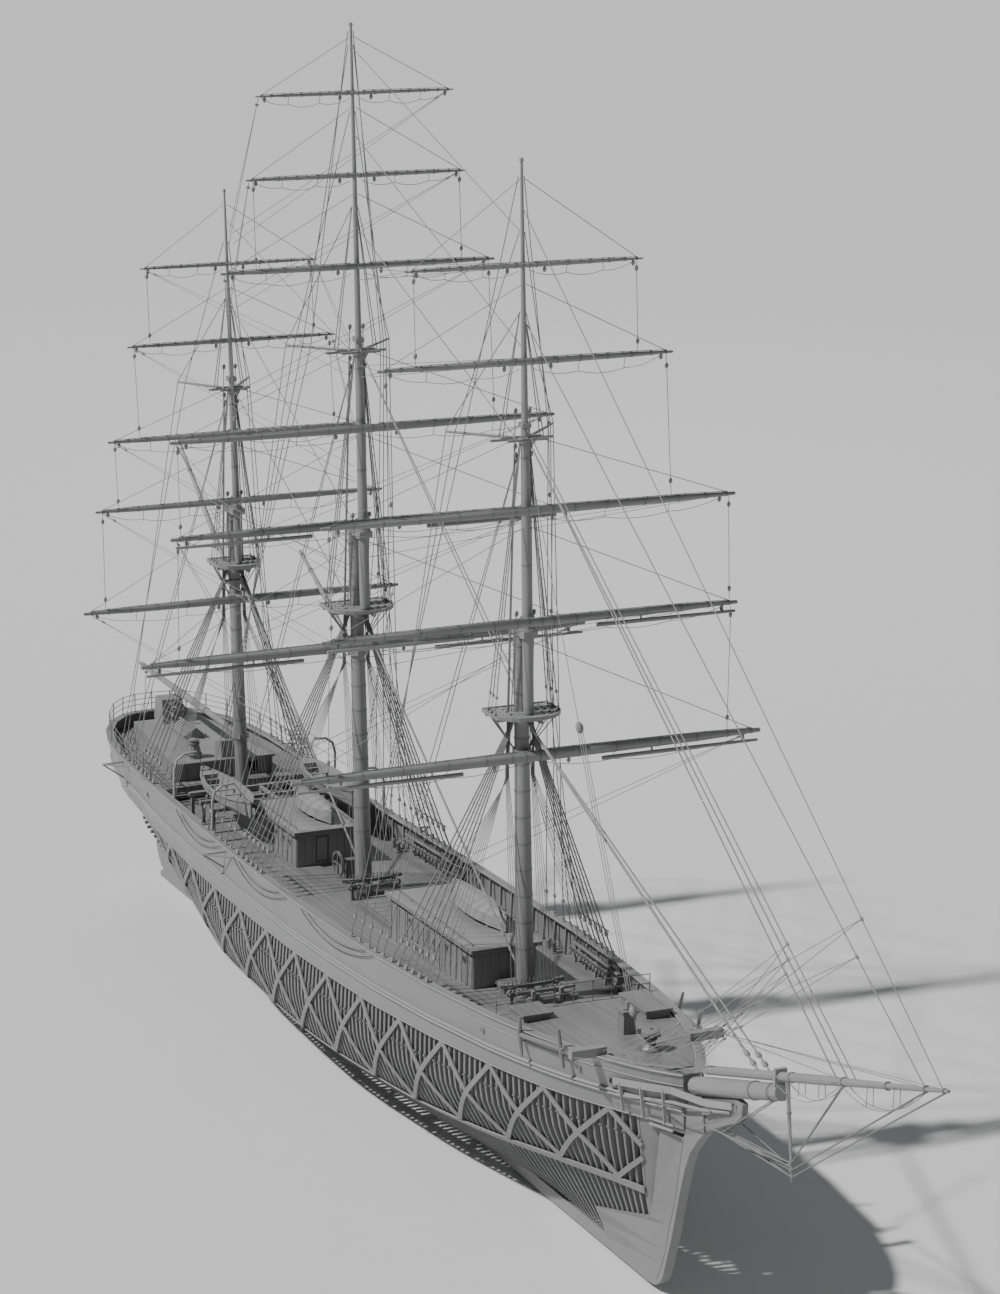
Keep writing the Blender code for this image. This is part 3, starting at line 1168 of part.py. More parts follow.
def rudder():
    """The rudder on its stock, which runs up to the counter."""
    outline = [(RUDDER_AXIS_X, -6.64), (-33.10, -6.64), (-33.60, -6.20), (-33.97, -5.50), (-34.10, -4.0),
               (-33.95, -2.6),
               (-33.45, -1.7), (-32.98, -1.4), (RUDDER_AXIS_X, -1.4)]
    stock = spar([(RUDDER_AXIS_X, 0.0, z) for z in (-6.64, -0.75)], [0.15, 0.15], 12)
    make("rudder", "hull_timber", [stock, prism(outline, -0.14, 0.14)], pivot=(RUDDER_AXIS_X, 0.0, -4.0),
         parent=BODIES["rudder"])


# Standing rigging

def rigging(mast, spread, rope, stay_foot):
    """The lower shrouds of both sides and the main stay forward, made fast to the masthead band."""
    head_z = mast.top_z - 0.24
    band = (mast.radii[1] + RUNNING_GAP) / math.cos(math.pi / 8)
    shapes = [ring_shape((mast.lower_x(head_z), 0.0, head_z), mast.axis(), band, mast.radii[1] + 0.14, 0.24,
                         8)]
    for side in (-1, 1):
        feet = []
        for i, x in enumerate(spread):
            foot = (x, side * (side_at(x, 0.0) - 0.14), plate_edge_z(x) + PLATE_DEPTH + GAP + rope * 0.4)
            head_x = mast.lower_x(head_z) + 0.05 - 0.05 * i
            feet.append(foot)
            shapes.append(spar([foot, (head_x, side * (mast.radii[1] + 0.07), head_z + 0.013 * i)],
                               [rope, rope], 4))
        first, last = (Vector(foot) + Vector((0.0, -side * 0.1, 0.5)) for foot in (feet[0], feet[-1]))
        shapes.append(spar([first, last], [rope * 1.4] * 2, 4))
    start = (mast.lower_x(head_z) + mast.radii[1] + 0.06, 0.0, head_z)
    shapes.append(spar([start, stay_foot], [rope * 1.3] * 2, 4))
    make(mast.name + "_shrouds_and_stay", "rope", shapes)


BODIES = {}


def main():
    for obj in list(bpy.data.objects):
        bpy.data.objects.remove(obj)
    names = ["ship", "rudder", "wheel", "windlass", "pump", "capstan", "fore_door", "aft_door",
             "spanker_boom",
             "spanker_gaff", "main_gaff"]
    names += [f"{mast.name}_{label}" for mast, label, *_ in YARDS]
    for name in names:
        empty = bpy.data.objects.new(name + "_body", None)
        bpy.context.collection.objects.link(empty)
        BODIES[name] = empty
    keel_and_stem()
    frames()
    straps(-1, "straps_starboard")
    straps(1, "straps_port")
    plating()
    decks()
    houses_and_boats()
    poop()
    deck_gear()
    head()
    masts()
    for row in YARDS:
        yard(*row)
    gaff("spanker_boom", "spanker_boom", MIZZEN, 4.56, (-36.95, 0.0, 4.60), 0.20)
    gaff("spanker_gaff", "spanker_gaff", MIZZEN, 13.02, (-30.4, 0.0, 19.0), 0.13)
    gaff("main_gaff", "main_gaff", MAIN, 13.40, (-12.8, 0.0, 16.9), 0.13)
    rudder()
    rigging(FORE, (14.6, 13.9, 13.2, 12.5, 11.8), 0.045, (37.4, 0.0, 6.36))
    rigging(MAIN, (-4.9, -5.6, -6.3, -7.0, -7.7), 0.045, (14.45, 0.0, 2.9))
    rigging(MIZZEN, (-21.9, -22.6, -23.3, -24.0), 0.04, (-5.0, 0.0, 2.6))


main()
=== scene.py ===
"""Looks of the three-masted sailing ship: finishes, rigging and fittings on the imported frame.

Sizes in the classes are full-size metres, and SCALE brings every mesh to the one-to-ten model.
X runs forward, Y to port and Z up; the origin lies amidships on the load waterline.
"""
from __future__ import annotations

import json
import logging
import math
from collections.abc import Callable, Iterable, Sequence
from dataclasses import dataclass, field
from enum import Enum
from itertools import pairwise, product

import bmesh
import bpy
import numpy as np
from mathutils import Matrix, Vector

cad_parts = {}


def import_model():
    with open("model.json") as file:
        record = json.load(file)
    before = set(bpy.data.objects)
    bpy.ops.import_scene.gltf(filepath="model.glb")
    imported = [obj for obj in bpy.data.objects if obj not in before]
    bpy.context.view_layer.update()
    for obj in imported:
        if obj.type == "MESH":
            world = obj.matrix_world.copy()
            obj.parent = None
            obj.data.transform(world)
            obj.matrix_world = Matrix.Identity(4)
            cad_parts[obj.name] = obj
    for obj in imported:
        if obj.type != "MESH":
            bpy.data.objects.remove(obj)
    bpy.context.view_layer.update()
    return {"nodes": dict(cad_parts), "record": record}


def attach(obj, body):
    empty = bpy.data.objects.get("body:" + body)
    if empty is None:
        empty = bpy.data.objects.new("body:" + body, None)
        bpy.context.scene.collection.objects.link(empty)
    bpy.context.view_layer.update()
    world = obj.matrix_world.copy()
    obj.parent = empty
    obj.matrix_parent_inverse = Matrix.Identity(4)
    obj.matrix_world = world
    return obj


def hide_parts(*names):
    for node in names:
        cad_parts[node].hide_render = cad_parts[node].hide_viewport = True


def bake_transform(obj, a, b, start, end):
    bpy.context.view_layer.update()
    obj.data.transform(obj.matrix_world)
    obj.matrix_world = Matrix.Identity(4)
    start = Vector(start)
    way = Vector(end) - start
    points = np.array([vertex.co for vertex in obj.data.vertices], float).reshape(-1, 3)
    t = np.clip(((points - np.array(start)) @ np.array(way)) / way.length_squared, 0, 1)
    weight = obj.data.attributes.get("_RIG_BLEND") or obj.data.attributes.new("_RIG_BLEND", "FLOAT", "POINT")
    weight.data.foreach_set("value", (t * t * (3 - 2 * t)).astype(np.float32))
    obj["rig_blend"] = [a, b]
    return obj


LOG = logging.getLogger("tall_ship")
FREE = "free"
SIDES = (-1, 1)
UP = Vector((0, 0, 1))
FORWARD = Vector((1, 0, 0))
SHARP_EDGE = math.radians(35.0)
SCALE = 0.1

# Places that several parts share, in full-size metres
FIFE_RAILS = (16.0, -2.75, -20.0)
PIN_RAILS = ((10.4, 16.2), (-9.6, -3.2), (-22.2, -19.2))
FORE_ROOF, AFT_ROOF, POOP_ROOF = 3.42, 2.68, 2.45
CHOCK_HEIGHT = 0.43
YARD_TAPER = ((0.12, 1.0), (0.72, 0.78), (1.0, 0.42))
STAY_FEET = {"fore": (37.4, 0.0, 6.14), "main": (14.45, 0.0, 2.9), "mizzen": (-5.0, 0.0, 2.6)}
CAPSTAN = Vector((27.75, 0.0, 3.67))
SPRIT_SLOPE = Vector((7.38, 0.0, 2.40))
BOOM_SLOPE = Vector((19.0, 0.0, 6.0))

Spot = tuple[float, float, float]
Row = tuple[float, ...]
Point = Sequence[float]
Line = Sequence[Point]
Facing = tuple[Point, Point]


# Nodes and objects

def equip(tree: bpy.types.NodeTree, kind: str, settings: dict | None, inputs: dict | None) -> bpy.types.Node:
    """Add a node to a tree.

    Args:
        tree: The tree.
        kind: The node's type.
        settings: Its settings, set first.
        inputs: Numbers, values or output sockets for its inputs, by name or index.

    Returns:
        The node.
    """
    node = tree.nodes.new(kind)
    for key, setting in (settings or {}).items():
        setattr(node, key, setting)
    for key, given in (inputs or {}).items():
        source = given.socket if isinstance(given, Value) else given
        if isinstance(source, bpy.types.NodeSocket):
            tree.links.new(source, node.inputs[key])
        else:
            node.inputs[key].default_value = source
    return node


def add_object(name: str, data: bpy.types.ID) -> bpy.types.Object:
    """A new object in the scene."""
    item = bpy.data.objects.new(name, data)
    bpy.context.scene.collection.objects.link(item)
    return item


# Shader maths

class Value:
    """A shader socket that takes part in sums as a number does."""

    def __init__(self, graph: Graph, socket: bpy.types.NodeSocket) -> None:
        """Wrap an output socket of a material's graph."""
        self.graph = graph
        self.socket = socket

    def math(self, operation: str, *others: Value | float, clamp: bool = False) -> Value:
        """The result of a Math node on this value and others, kept between 0 and 1 if clamped."""
        inputs = dict(enumerate((self, *others)))
        return self.graph.add("Math", {"operation": operation, "use_clamp": clamp}, inputs)

    def __add__(self, other: Value | float) -> Value:
        """Sum."""
        return self.math("ADD", other)

    __radd__ = __add__

    def __sub__(self, other: Value | float) -> Value:
        """Difference."""
        return self.math("SUBTRACT", other)

    def __rsub__(self, other: float) -> Value:
        """Difference from a number."""
        return self.graph.add("Math", {"operation": "SUBTRACT"}, {0: other, 1: self})

    def __mul__(self, other: Value | float) -> Value:
        """Product."""
        return self.math("MULTIPLY", other)

    __rmul__ = __mul__

    def __truediv__(self, other: Value | float) -> Value:
        """Quotient."""
        return self.math("DIVIDE", other)

    def clamped(self) -> Value:
        """The value kept between 0 and 1."""
        return self.math("ADD", 0.0, clamp=True)


class Graph:
    """The node graph of one material."""

    def __init__(self, name: str) -> None:
        """Create the material with a Principled shader."""
        self.material = bpy.data.materials.new(name)
        self.material.use_nodes = True
        self.tree = self.material.node_tree
        self.tree.nodes.clear()
        self.shader = self.tree.nodes.new("ShaderNodeBsdfPrincipled")
        out = self.tree.nodes.new("ShaderNodeOutputMaterial")
        self.tree.links.new(self.shader.outputs["BSDF"], out.inputs["Surface"])

    def add(self, kind: str, settings: dict | None = None, inputs: dict | None = None,
            output: int | str = 0) -> Value:
        """Add a shader node.

        Args:
            kind: The node's type.
            settings: Its settings, set first.
            inputs: Values or links for its sockets, by name or index.
            output: The output socket that is returned.

        Returns:
            The chosen output as a value.
        """
        return Value(self, equip(self.tree, f"ShaderNode{kind}", settings, inputs).outputs[output])

    def place(self) -> Value:
        """Object coordinates as a vector."""
        return self.add("TexCoord", output="Object")

    def split(self, vector: Value) -> tuple[Value, Value, Value]:
        """The three parts of a vector."""
        node = self.tree.nodes.new("ShaderNodeSeparateXYZ")
        self.tree.links.new(vector.socket, node.inputs[0])
        return Value(self, node.outputs[0]), Value(self, node.outputs[1]), Value(self, node.outputs[2])

    def noise(self, scale: float, detail: float = 3.0, stretch: Spot = (1.0, 1.0, 1.0)) -> Value:
        """Noise round 0.5 on Object coordinates, which the stretch draws out for grain."""
        vector = self.add("Mapping", None, {"Vector": self.place(), "Scale": stretch})
        return self.add("TexNoise", None, {"Vector": vector, "Scale": scale, "Detail": detail})

    def line(self, along: Value, pitch: float, width: float) -> Value:
        """A soft line at each multiple of the pitch: 1 on the line, 0 at its half width."""
        distance = along.math("PINGPONG", pitch / 2)
        return (1.0 - distance / width).clamped()

    def step_noise(self, steps: Value) -> Value:
        """A random value for each whole step."""
        return self.add("TexWhiteNoise", {"noise_dimensions": "1D"}, {"W": steps.math("FLOOR")})

    def greys(self, factor: Value, dark: float, light: float) -> Value:
        """A grey between two tones."""
        settings = {"data_type": "RGBA"}
        inputs = {"Factor": factor.clamped(), 6: (dark, dark, dark, 1.0), 7: (light, light, light, 1.0)}
        return self.add("Mix", settings, inputs, output=2)

    def feed(self, socket: str, value: Value) -> None:
        """Link a value to one of the shader's sockets."""
        self.tree.links.new(value.socket, self.shader.inputs[socket])

    def relief(self, height: Value, strength: float, distance: float) -> None:
        """Raise the surface by a height through a Bump node."""
        inputs = {"Height": height, "Strength": strength, "Distance": distance}
        self.feed("Normal", self.add("Bump", None, inputs))


# Finishes

@dataclass(frozen=True)
class Finish:
    """A matt grey finish with a faint cloud and a fine tooth."""

    name: str
    slot: str = "iron"
    tone: float = 0.42
    spread: float = 0.05
    roughness: float = 0.6
    strength: float = 0.25
    distance: float = 0.001

    def pattern(self, graph: Graph) -> tuple[Value, Value]:
        """The finish's lightness and height, both from 0 to 1."""
        return graph.noise(6.0, 4.0), graph.noise(160.0, 2.0)

    def material(self) -> bpy.types.Material:
        """The finish's material, made once."""
        found = bpy.data.materials.get(self.name)
        if found:
            return found
        graph = Graph(self.name)
        shade, height = self.pattern(graph)
        graph.feed("Base Color", graph.greys(shade, self.tone - self.spread, self.tone + self.spread))
        graph.feed("Roughness", (graph.noise(9.0, 2.0) * 0.16 + (self.roughness - 0.08)).clamped())
        graph.relief(height, self.strength, self.distance)
        return graph.material


class Run(Enum):
    """The way that grain or planks run, as stretches of the three coordinates."""

    FORE_AND_AFT = (0.06, 1.0, 1.0)
    ATHWART = (1.0, 0.06, 1.0)
    UPRIGHT = (1.0, 1.0, 0.06)


@dataclass(frozen=True)
class GrainFinish(Finish):
    """Painted timber whose grain shows faintly."""

    run: Run = Run.FORE_AND_AFT

    def pattern(self, graph: Graph) -> tuple[Value, Value]:
        """Lightness and height of the grain."""
        grain = graph.noise(120.0, 3.0, self.run.value)
        return graph.noise(5.0, 3.0) * 0.7 + grain * 0.3, grain


@dataclass(frozen=True)
class PlankFinish(Finish):
    """Deck planks with caulked seams and staggered butts."""

    plank: float = 0.016
    seam: float = 0.0012
    length: float = 0.62

    def pattern(self, graph: Graph) -> tuple[Value, Value]:
        """Lightness and height of the planks."""
        x, y, _ = graph.split(graph.place())
        row = graph.step_noise(y / self.plank)
        seam = graph.line(y, self.plank, self.seam)
        butt = graph.line(x + row * self.length, self.length, self.seam)
        mark = seam.math("MAXIMUM", butt)
        grain = graph.noise(140.0, 3.0, Run.FORE_AND_AFT.value)
        shade = (row - 0.5) * 0.35 + graph.noise(2.5, 3.0) * 0.6 + grain * 0.25 - mark * 1.1 + 0.1
        return shade, 1.0 - mark


@dataclass(frozen=True)
class BoardFinish(Finish):
    """Upright boards of a house side."""

    board: float = 0.022
    seam: float = 0.0008

    def pattern(self, graph: Graph) -> tuple[Value, Value]:
        """Lightness and height of the boards."""
        x, y, _ = graph.split(graph.place())
        seam = graph.line(x + y, self.board, self.seam)
        grain = graph.noise(120.0, 2.0, Run.UPRIGHT.value)
        return graph.noise(4.0, 3.0) * 0.7 + grain * 0.3 - seam * 0.6, 1.0 - seam


@dataclass(frozen=True)
class PlateFinish(Finish):
    """Painted plates with hairline butts."""

    plate: float = 0.52
    strake: float = 0.105
    hairline: float = 0.0009

    def pattern(self, graph: Graph) -> tuple[Value, Value]:
        """Lightness and height of the plates."""
        x, _, z = graph.split(graph.place())
        shift = graph.step_noise((z + 3.0) / self.strake)
        butt = graph.line(x + shift * 0.4, self.plate, self.hairline)
        cloud = graph.noise(3.0, 4.0)
        return cloud - butt * 0.8, graph.noise(60.0, 2.0) * 0.4 - butt


@dataclass(frozen=True)
class RopeFinish(Finish):
    """Laid rope."""

    def pattern(self, graph: Graph) -> tuple[Value, Value]:
        """Lightness and height of the lay; the lightness darkens in the grooves between strands as painted
        shade.
        """
        x, y, z = graph.split(graph.place())
        lay = (x + y * 0.6 + z).math("MULTIPLY", 900.0).math("SINE") * 0.5 + 0.5
        # The lay's share of the lightness is painted shade in the grooves; the noise is the rope's own uneven
        # tone.
        return graph.noise(20.0, 2.0) * 0.6 + lay * 0.4, lay


@dataclass(frozen=True)
class Palette:
    """Every finish of the grey model."""

    frames: Finish = Finish("finish_frames", "frames", tone=0.19, spread=0.04, roughness=0.62)
    strap: Finish = Finish("finish_strap", "frames", tone=0.22, spread=0.03, roughness=0.55)
    plating: Finish = PlateFinish("finish_plating", "plating", tone=0.23, spread=0.025, roughness=0.42,
                                  strength=0.1)
    moulding: Finish = Finish("finish_moulding", "plating", tone=0.31, spread=0.03, roughness=0.4)
    timber: Finish = GrainFinish("finish_timber", "hull_timber", tone=0.22, spread=0.035, roughness=0.55,
                                 strength=0.12)
    deck: Finish = PlankFinish("finish_deck", "deck", tone=0.20, spread=0.07, roughness=0.5, strength=0.35)
    joinery: Finish = BoardFinish("finish_joinery", "joinery", tone=0.25, spread=0.05, roughness=0.5,
                                  strength=0.3)
    roof: Finish = PlankFinish("finish_roof", "joinery", tone=0.25, spread=0.05, roughness=0.5, strength=0.3)
    boat: Finish = GrainFinish("finish_boat", "joinery", tone=0.26, spread=0.05, roughness=0.45)
    mast: Finish = GrainFinish("finish_mast", "spar", tone=0.25, spread=0.05, roughness=0.5, run=Run.UPRIGHT)
    yard: Finish = GrainFinish("finish_yard", "spar", tone=0.25, spread=0.05, roughness=0.5, run=Run.ATHWART)
    boom: Finish = GrainFinish("finish_boom", "spar", tone=0.26, spread=0.05, roughness=0.5)
    iron: Finish = Finish("finish_iron", tone=0.19, spread=0.05, roughness=0.42)
    dark: Finish = Finish("finish_dark", tone=0.05, spread=0.02, roughness=0.6)
    rope: Finish = RopeFinish("finish_rope", "rope", tone=0.21, spread=0.06, roughness=0.7)
    line: Finish = RopeFinish("finish_line", "rope", tone=0.25, spread=0.06, roughness=0.7)


GREY = Palette()


# Meshes

def square_to(axis: Point) -> tuple[Vector, Vector, Vector]:
    """An axis's direction with two more at right angles to it."""
    run = Vector(axis).normalized()
    side = run.cross(UP if abs(run.z) < 0.9 else FORWARD).normalized()
    return run, side, run.cross(side)


def circle(side: Vector, up: Vector, count: int) -> list[Vector]:
    """Arms of length one, evenly spaced round a circle from the first direction to the second."""
    angles = [2 * math.pi * k / count for k in range(count)]
    return [side * math.cos(angle) + up * math.sin(angle) for angle in angles]


@dataclass
class Sketch:
    """Points and faces of one piece, gathered in full-size metres."""

    points: list[Vector] = field(default_factory=list)
    faces: list[tuple[int, ...]] = field(default_factory=list)

    def add(self, points: Iterable[Point], faces: Iterable[Sequence[int]]) -> None:
        """Add a closed shape.

        Args:
            points: Its points.
            faces: Its faces as indices into those points.
        """
        start = len(self.points)
        self.points += [Vector(p) for p in points]
        self.faces += [tuple(start + i for i in face) for face in faces]

    def box(self, low: Spot, high: Spot) -> None:
        """Add a box between two corners."""
        points = [(x, y, z) for x in (low[0], high[0]) for y in (low[1], high[1]) for z in (low[2], high[2])]
        self.add(points, [(0, 1, 3, 2), (4, 6, 7, 5), (0, 4, 5, 1), (2, 3, 7, 6), (0, 2, 6, 4), (1, 5, 7, 3)])

    def loft(self, rings: Sequence[Line], closed: bool = False) -> None:
        """Skin rings of equal count.

        Args:
            rings: The rings of points.
            closed: Whether the last ring joins the first, which leaves no end faces.
        """
        count = len(rings[0])
        faces: list[tuple[int, ...]] = []
        for r in range(len(rings) if closed else len(rings) - 1):
            low, high = r * count, (r + 1) % len(rings) * count
            for k in range(count):
                m = (k + 1) % count
                faces.append((low + k, low + m, high + m, high + k))
        if not closed:
            faces.append(tuple(reversed(range(count))))
            faces.append(tuple(range((len(rings) - 1) * count, len(rings) * count)))
        self.add([p for ring in rings for p in ring], faces)

    def beam(self, start: Point, end: Point, width: float, height: float) -> None:
        """Add a bar between two points.

        Args:
            start: Centre of one end.
            end: Centre of the other end.
            width: Size across, level where it can be.
            height: Size in the third direction.
        """
        a, b = Vector(start), Vector(end)
        run = (b - a).normalized()
        side = run.cross(UP)
        side = side.normalized() if side.length > 0.01 else Vector((0, 1, 0))
        up = side.cross(run).normalized()
        ring = [side * s * width / 2 + up * t * height / 2 for s, t in ((-1, -1), (1, -1), (1, 1), (-1, 1))]
        self.loft([[a + p for p in ring], [b + p for p in ring]])

    def tube(self, path: Line, radii: Sequence[float], sides: int = 8) -> None:
        """Add a round bar along a path.

        Args:
            path: Its centre line.
            radii: Its radius at each point.
            sides: Faces round it.
        """
        line = [Vector(p) for p in path]
        first = (line[1] - line[0]).normalized()
        across = first.cross(UP if abs(first.z) < 0.9 else FORWARD).normalized()
        rings = []
        for i, centre in enumerate(line):
            run = (line[min(i + 1, len(line) - 1)] - line[max(i - 1, 0)]).normalized()
            across = (across - run * across.dot(run)).normalized()
            rings.append([centre + arm * radii[i] for arm in circle(across, run.cross(across), sides)])
        self.loft(rings)

    def turned(self, base: Point, axis: Point, profile: Sequence[tuple[float, float]],
               sides: int = 12) -> None:
        """Add a turned shape.

        Args:
            base: Point on its axis at height 0.
            axis: Direction of the axis.
            profile: Pairs of radius and height, from one end to the other.
            sides: Faces round it.
        """
        run, side, up = square_to(axis)
        arms = circle(side, up, sides)
        self.loft([[Vector(base) + run * height + arm * radius for arm in arms]
                   for radius, height in profile])

    def ring(self, centre: Point, axis: Point, inner: float, outer: float, width: float,
             sides: int = 16) -> None:
        """Add a hoop.

        Args:
            centre: Its middle.
            axis: Direction of its axis.
            inner: Inside radius.
            outer: Outside radius.
            width: Size along the axis.
            sides: Faces round it.
        """
        run, side, up = square_to(axis)
        corners = ((inner, -0.5), (outer, -0.5), (outer, 0.5), (inner, 0.5))
        rings = [[Vector(centre) + arm * radius + run * width * t for radius, t in corners]
                 for arm in circle(side, up, sides)]
        self.loft(rings, closed=True)

    def rail(self, line: Line, width: float, height: float) -> None:
        """Add bars from point to point along a line."""
        for a, b in pairwise(line):
            self.beam(a, b, width, height)

    def piece(self, name: str, finish: Finish, body: str = "ship", slot: str = "") -> bpy.types.Object:
        """Make the object.

        Args:
            name: Name of the piece.
            finish: What it is finished in.
            body: The body that it rides on.
            slot: Not used.

        Returns:
            The finished object.
        """
        mesh = bpy.data.meshes.new(name)
        mesh.from_pydata([p * SCALE for p in self.points], [], self.faces)
        form = bmesh.new()
        form.from_mesh(mesh)
        bmesh.ops.recalc_face_normals(form, faces=form.faces)
        form.to_mesh(mesh)
        form.free()
        mesh.shade_smooth()
        mesh.set_sharp_from_angle(angle=SHARP_EDGE)
        mesh.materials.append(finish.material())
        return settle(add_object(name, mesh), body)


def settle(piece: bpy.types.Object, body: str) -> bpy.types.Object:
    """Let a piece ride and report it.

    Args:
        piece: The finished object.
        body: The body that it rides on.

    Returns:
        The same object.
    """
    if body != FREE:
        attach(piece, body)
    LOG.info("%s: %d faces on %s", piece.name, len(piece.data.polygons), body)
    return piece


class Weave:
    """A Geometry Nodes tree with named inputs that turns guides into one plain mesh."""

    def __init__(self, name: str, sizes: dict[str, tuple[str, float]]) -> None:
        """Create the tree with its inputs.

        Args:
            name: Name of the tree.
            sizes: Socket type and default of each named input.
        """
        self.tree = bpy.data.node_groups.new(name, "GeometryNodeTree")
        face = self.tree.interface
        face.new_socket("Guides", in_out="INPUT", socket_type="NodeSocketGeometry")
        for label, (kind, default) in sizes.items():
            face.new_socket(label, in_out="INPUT", socket_type=kind).default_value = default
        face.new_socket("Finish", in_out="INPUT", socket_type="NodeSocketMaterial")
        face.new_socket("Piece", in_out="OUTPUT", socket_type="NodeSocketGeometry")
        self.entry = self.tree.nodes.new("NodeGroupInput")
        self.exit = self.tree.nodes.new("NodeGroupOutput")

    def node(self, kind: str, settings: dict | None = None, inputs: dict | None = None) -> bpy.types.Node:
        """Add a geometry node to the tree."""
        return equip(self.tree, f"GeometryNode{kind}", settings, inputs)

    def close(self, geometry: bpy.types.NodeSocket, smooth: bool) -> None:
        """End the tree in Realize Instances and Set Material."""
        shade = self.node("SetShadeSmooth", None, {"Geometry": geometry, "Shade Smooth": smooth})
        real = self.node("RealizeInstances", None, {"Geometry": shade.outputs[0]})
        inputs = {"Geometry": real.outputs[0], "Material": self.entry.outputs["Finish"]}
        dressed = self.node("SetMaterial", None, inputs)
        self.tree.links.new(dressed.outputs[0], self.exit.inputs["Piece"])

    def run(self, name: str, guides: bpy.types.Mesh, finish: Finish, sizes: dict[str, float],
            body: str = "ship", slot: str = "") -> bpy.types.Object:
        """Run the tree on guides and keep the result as a plain mesh.

        Args:
            name: Name of the piece.
            guides: Mesh of guide points or edges, in the model's size.
            finish: What the piece is finished in.
            sizes: Values of the named inputs.
            body: The body that it rides on.
            slot: Not used.

        Returns:
            The finished object.
        """
        carrier = add_object(name, guides)
        modifier = carrier.modifiers.new("weave", "NODES")
        modifier.node_group = self.tree
        values: dict[str, object] = {**sizes, "Finish": finish.material()}
        for item in self.tree.interface.items_tree:
            if item.in_out == "INPUT" and item.name in values:
                modifier[item.identifier] = values[item.name]
        bpy.context.view_layer.update()
        evaluated = carrier.evaluated_get(bpy.context.evaluated_depsgraph_get())
        mesh = bpy.data.meshes.new_from_object(evaluated)
        carrier.modifiers.remove(modifier)
        for extra in [a.name for a in mesh.attributes if a.name == "facing"]:
            mesh.attributes.remove(mesh.attributes[extra])
        mesh.name = name
        carrier.data = mesh
        bpy.data.meshes.remove(guides)
        return settle(carrier, body)


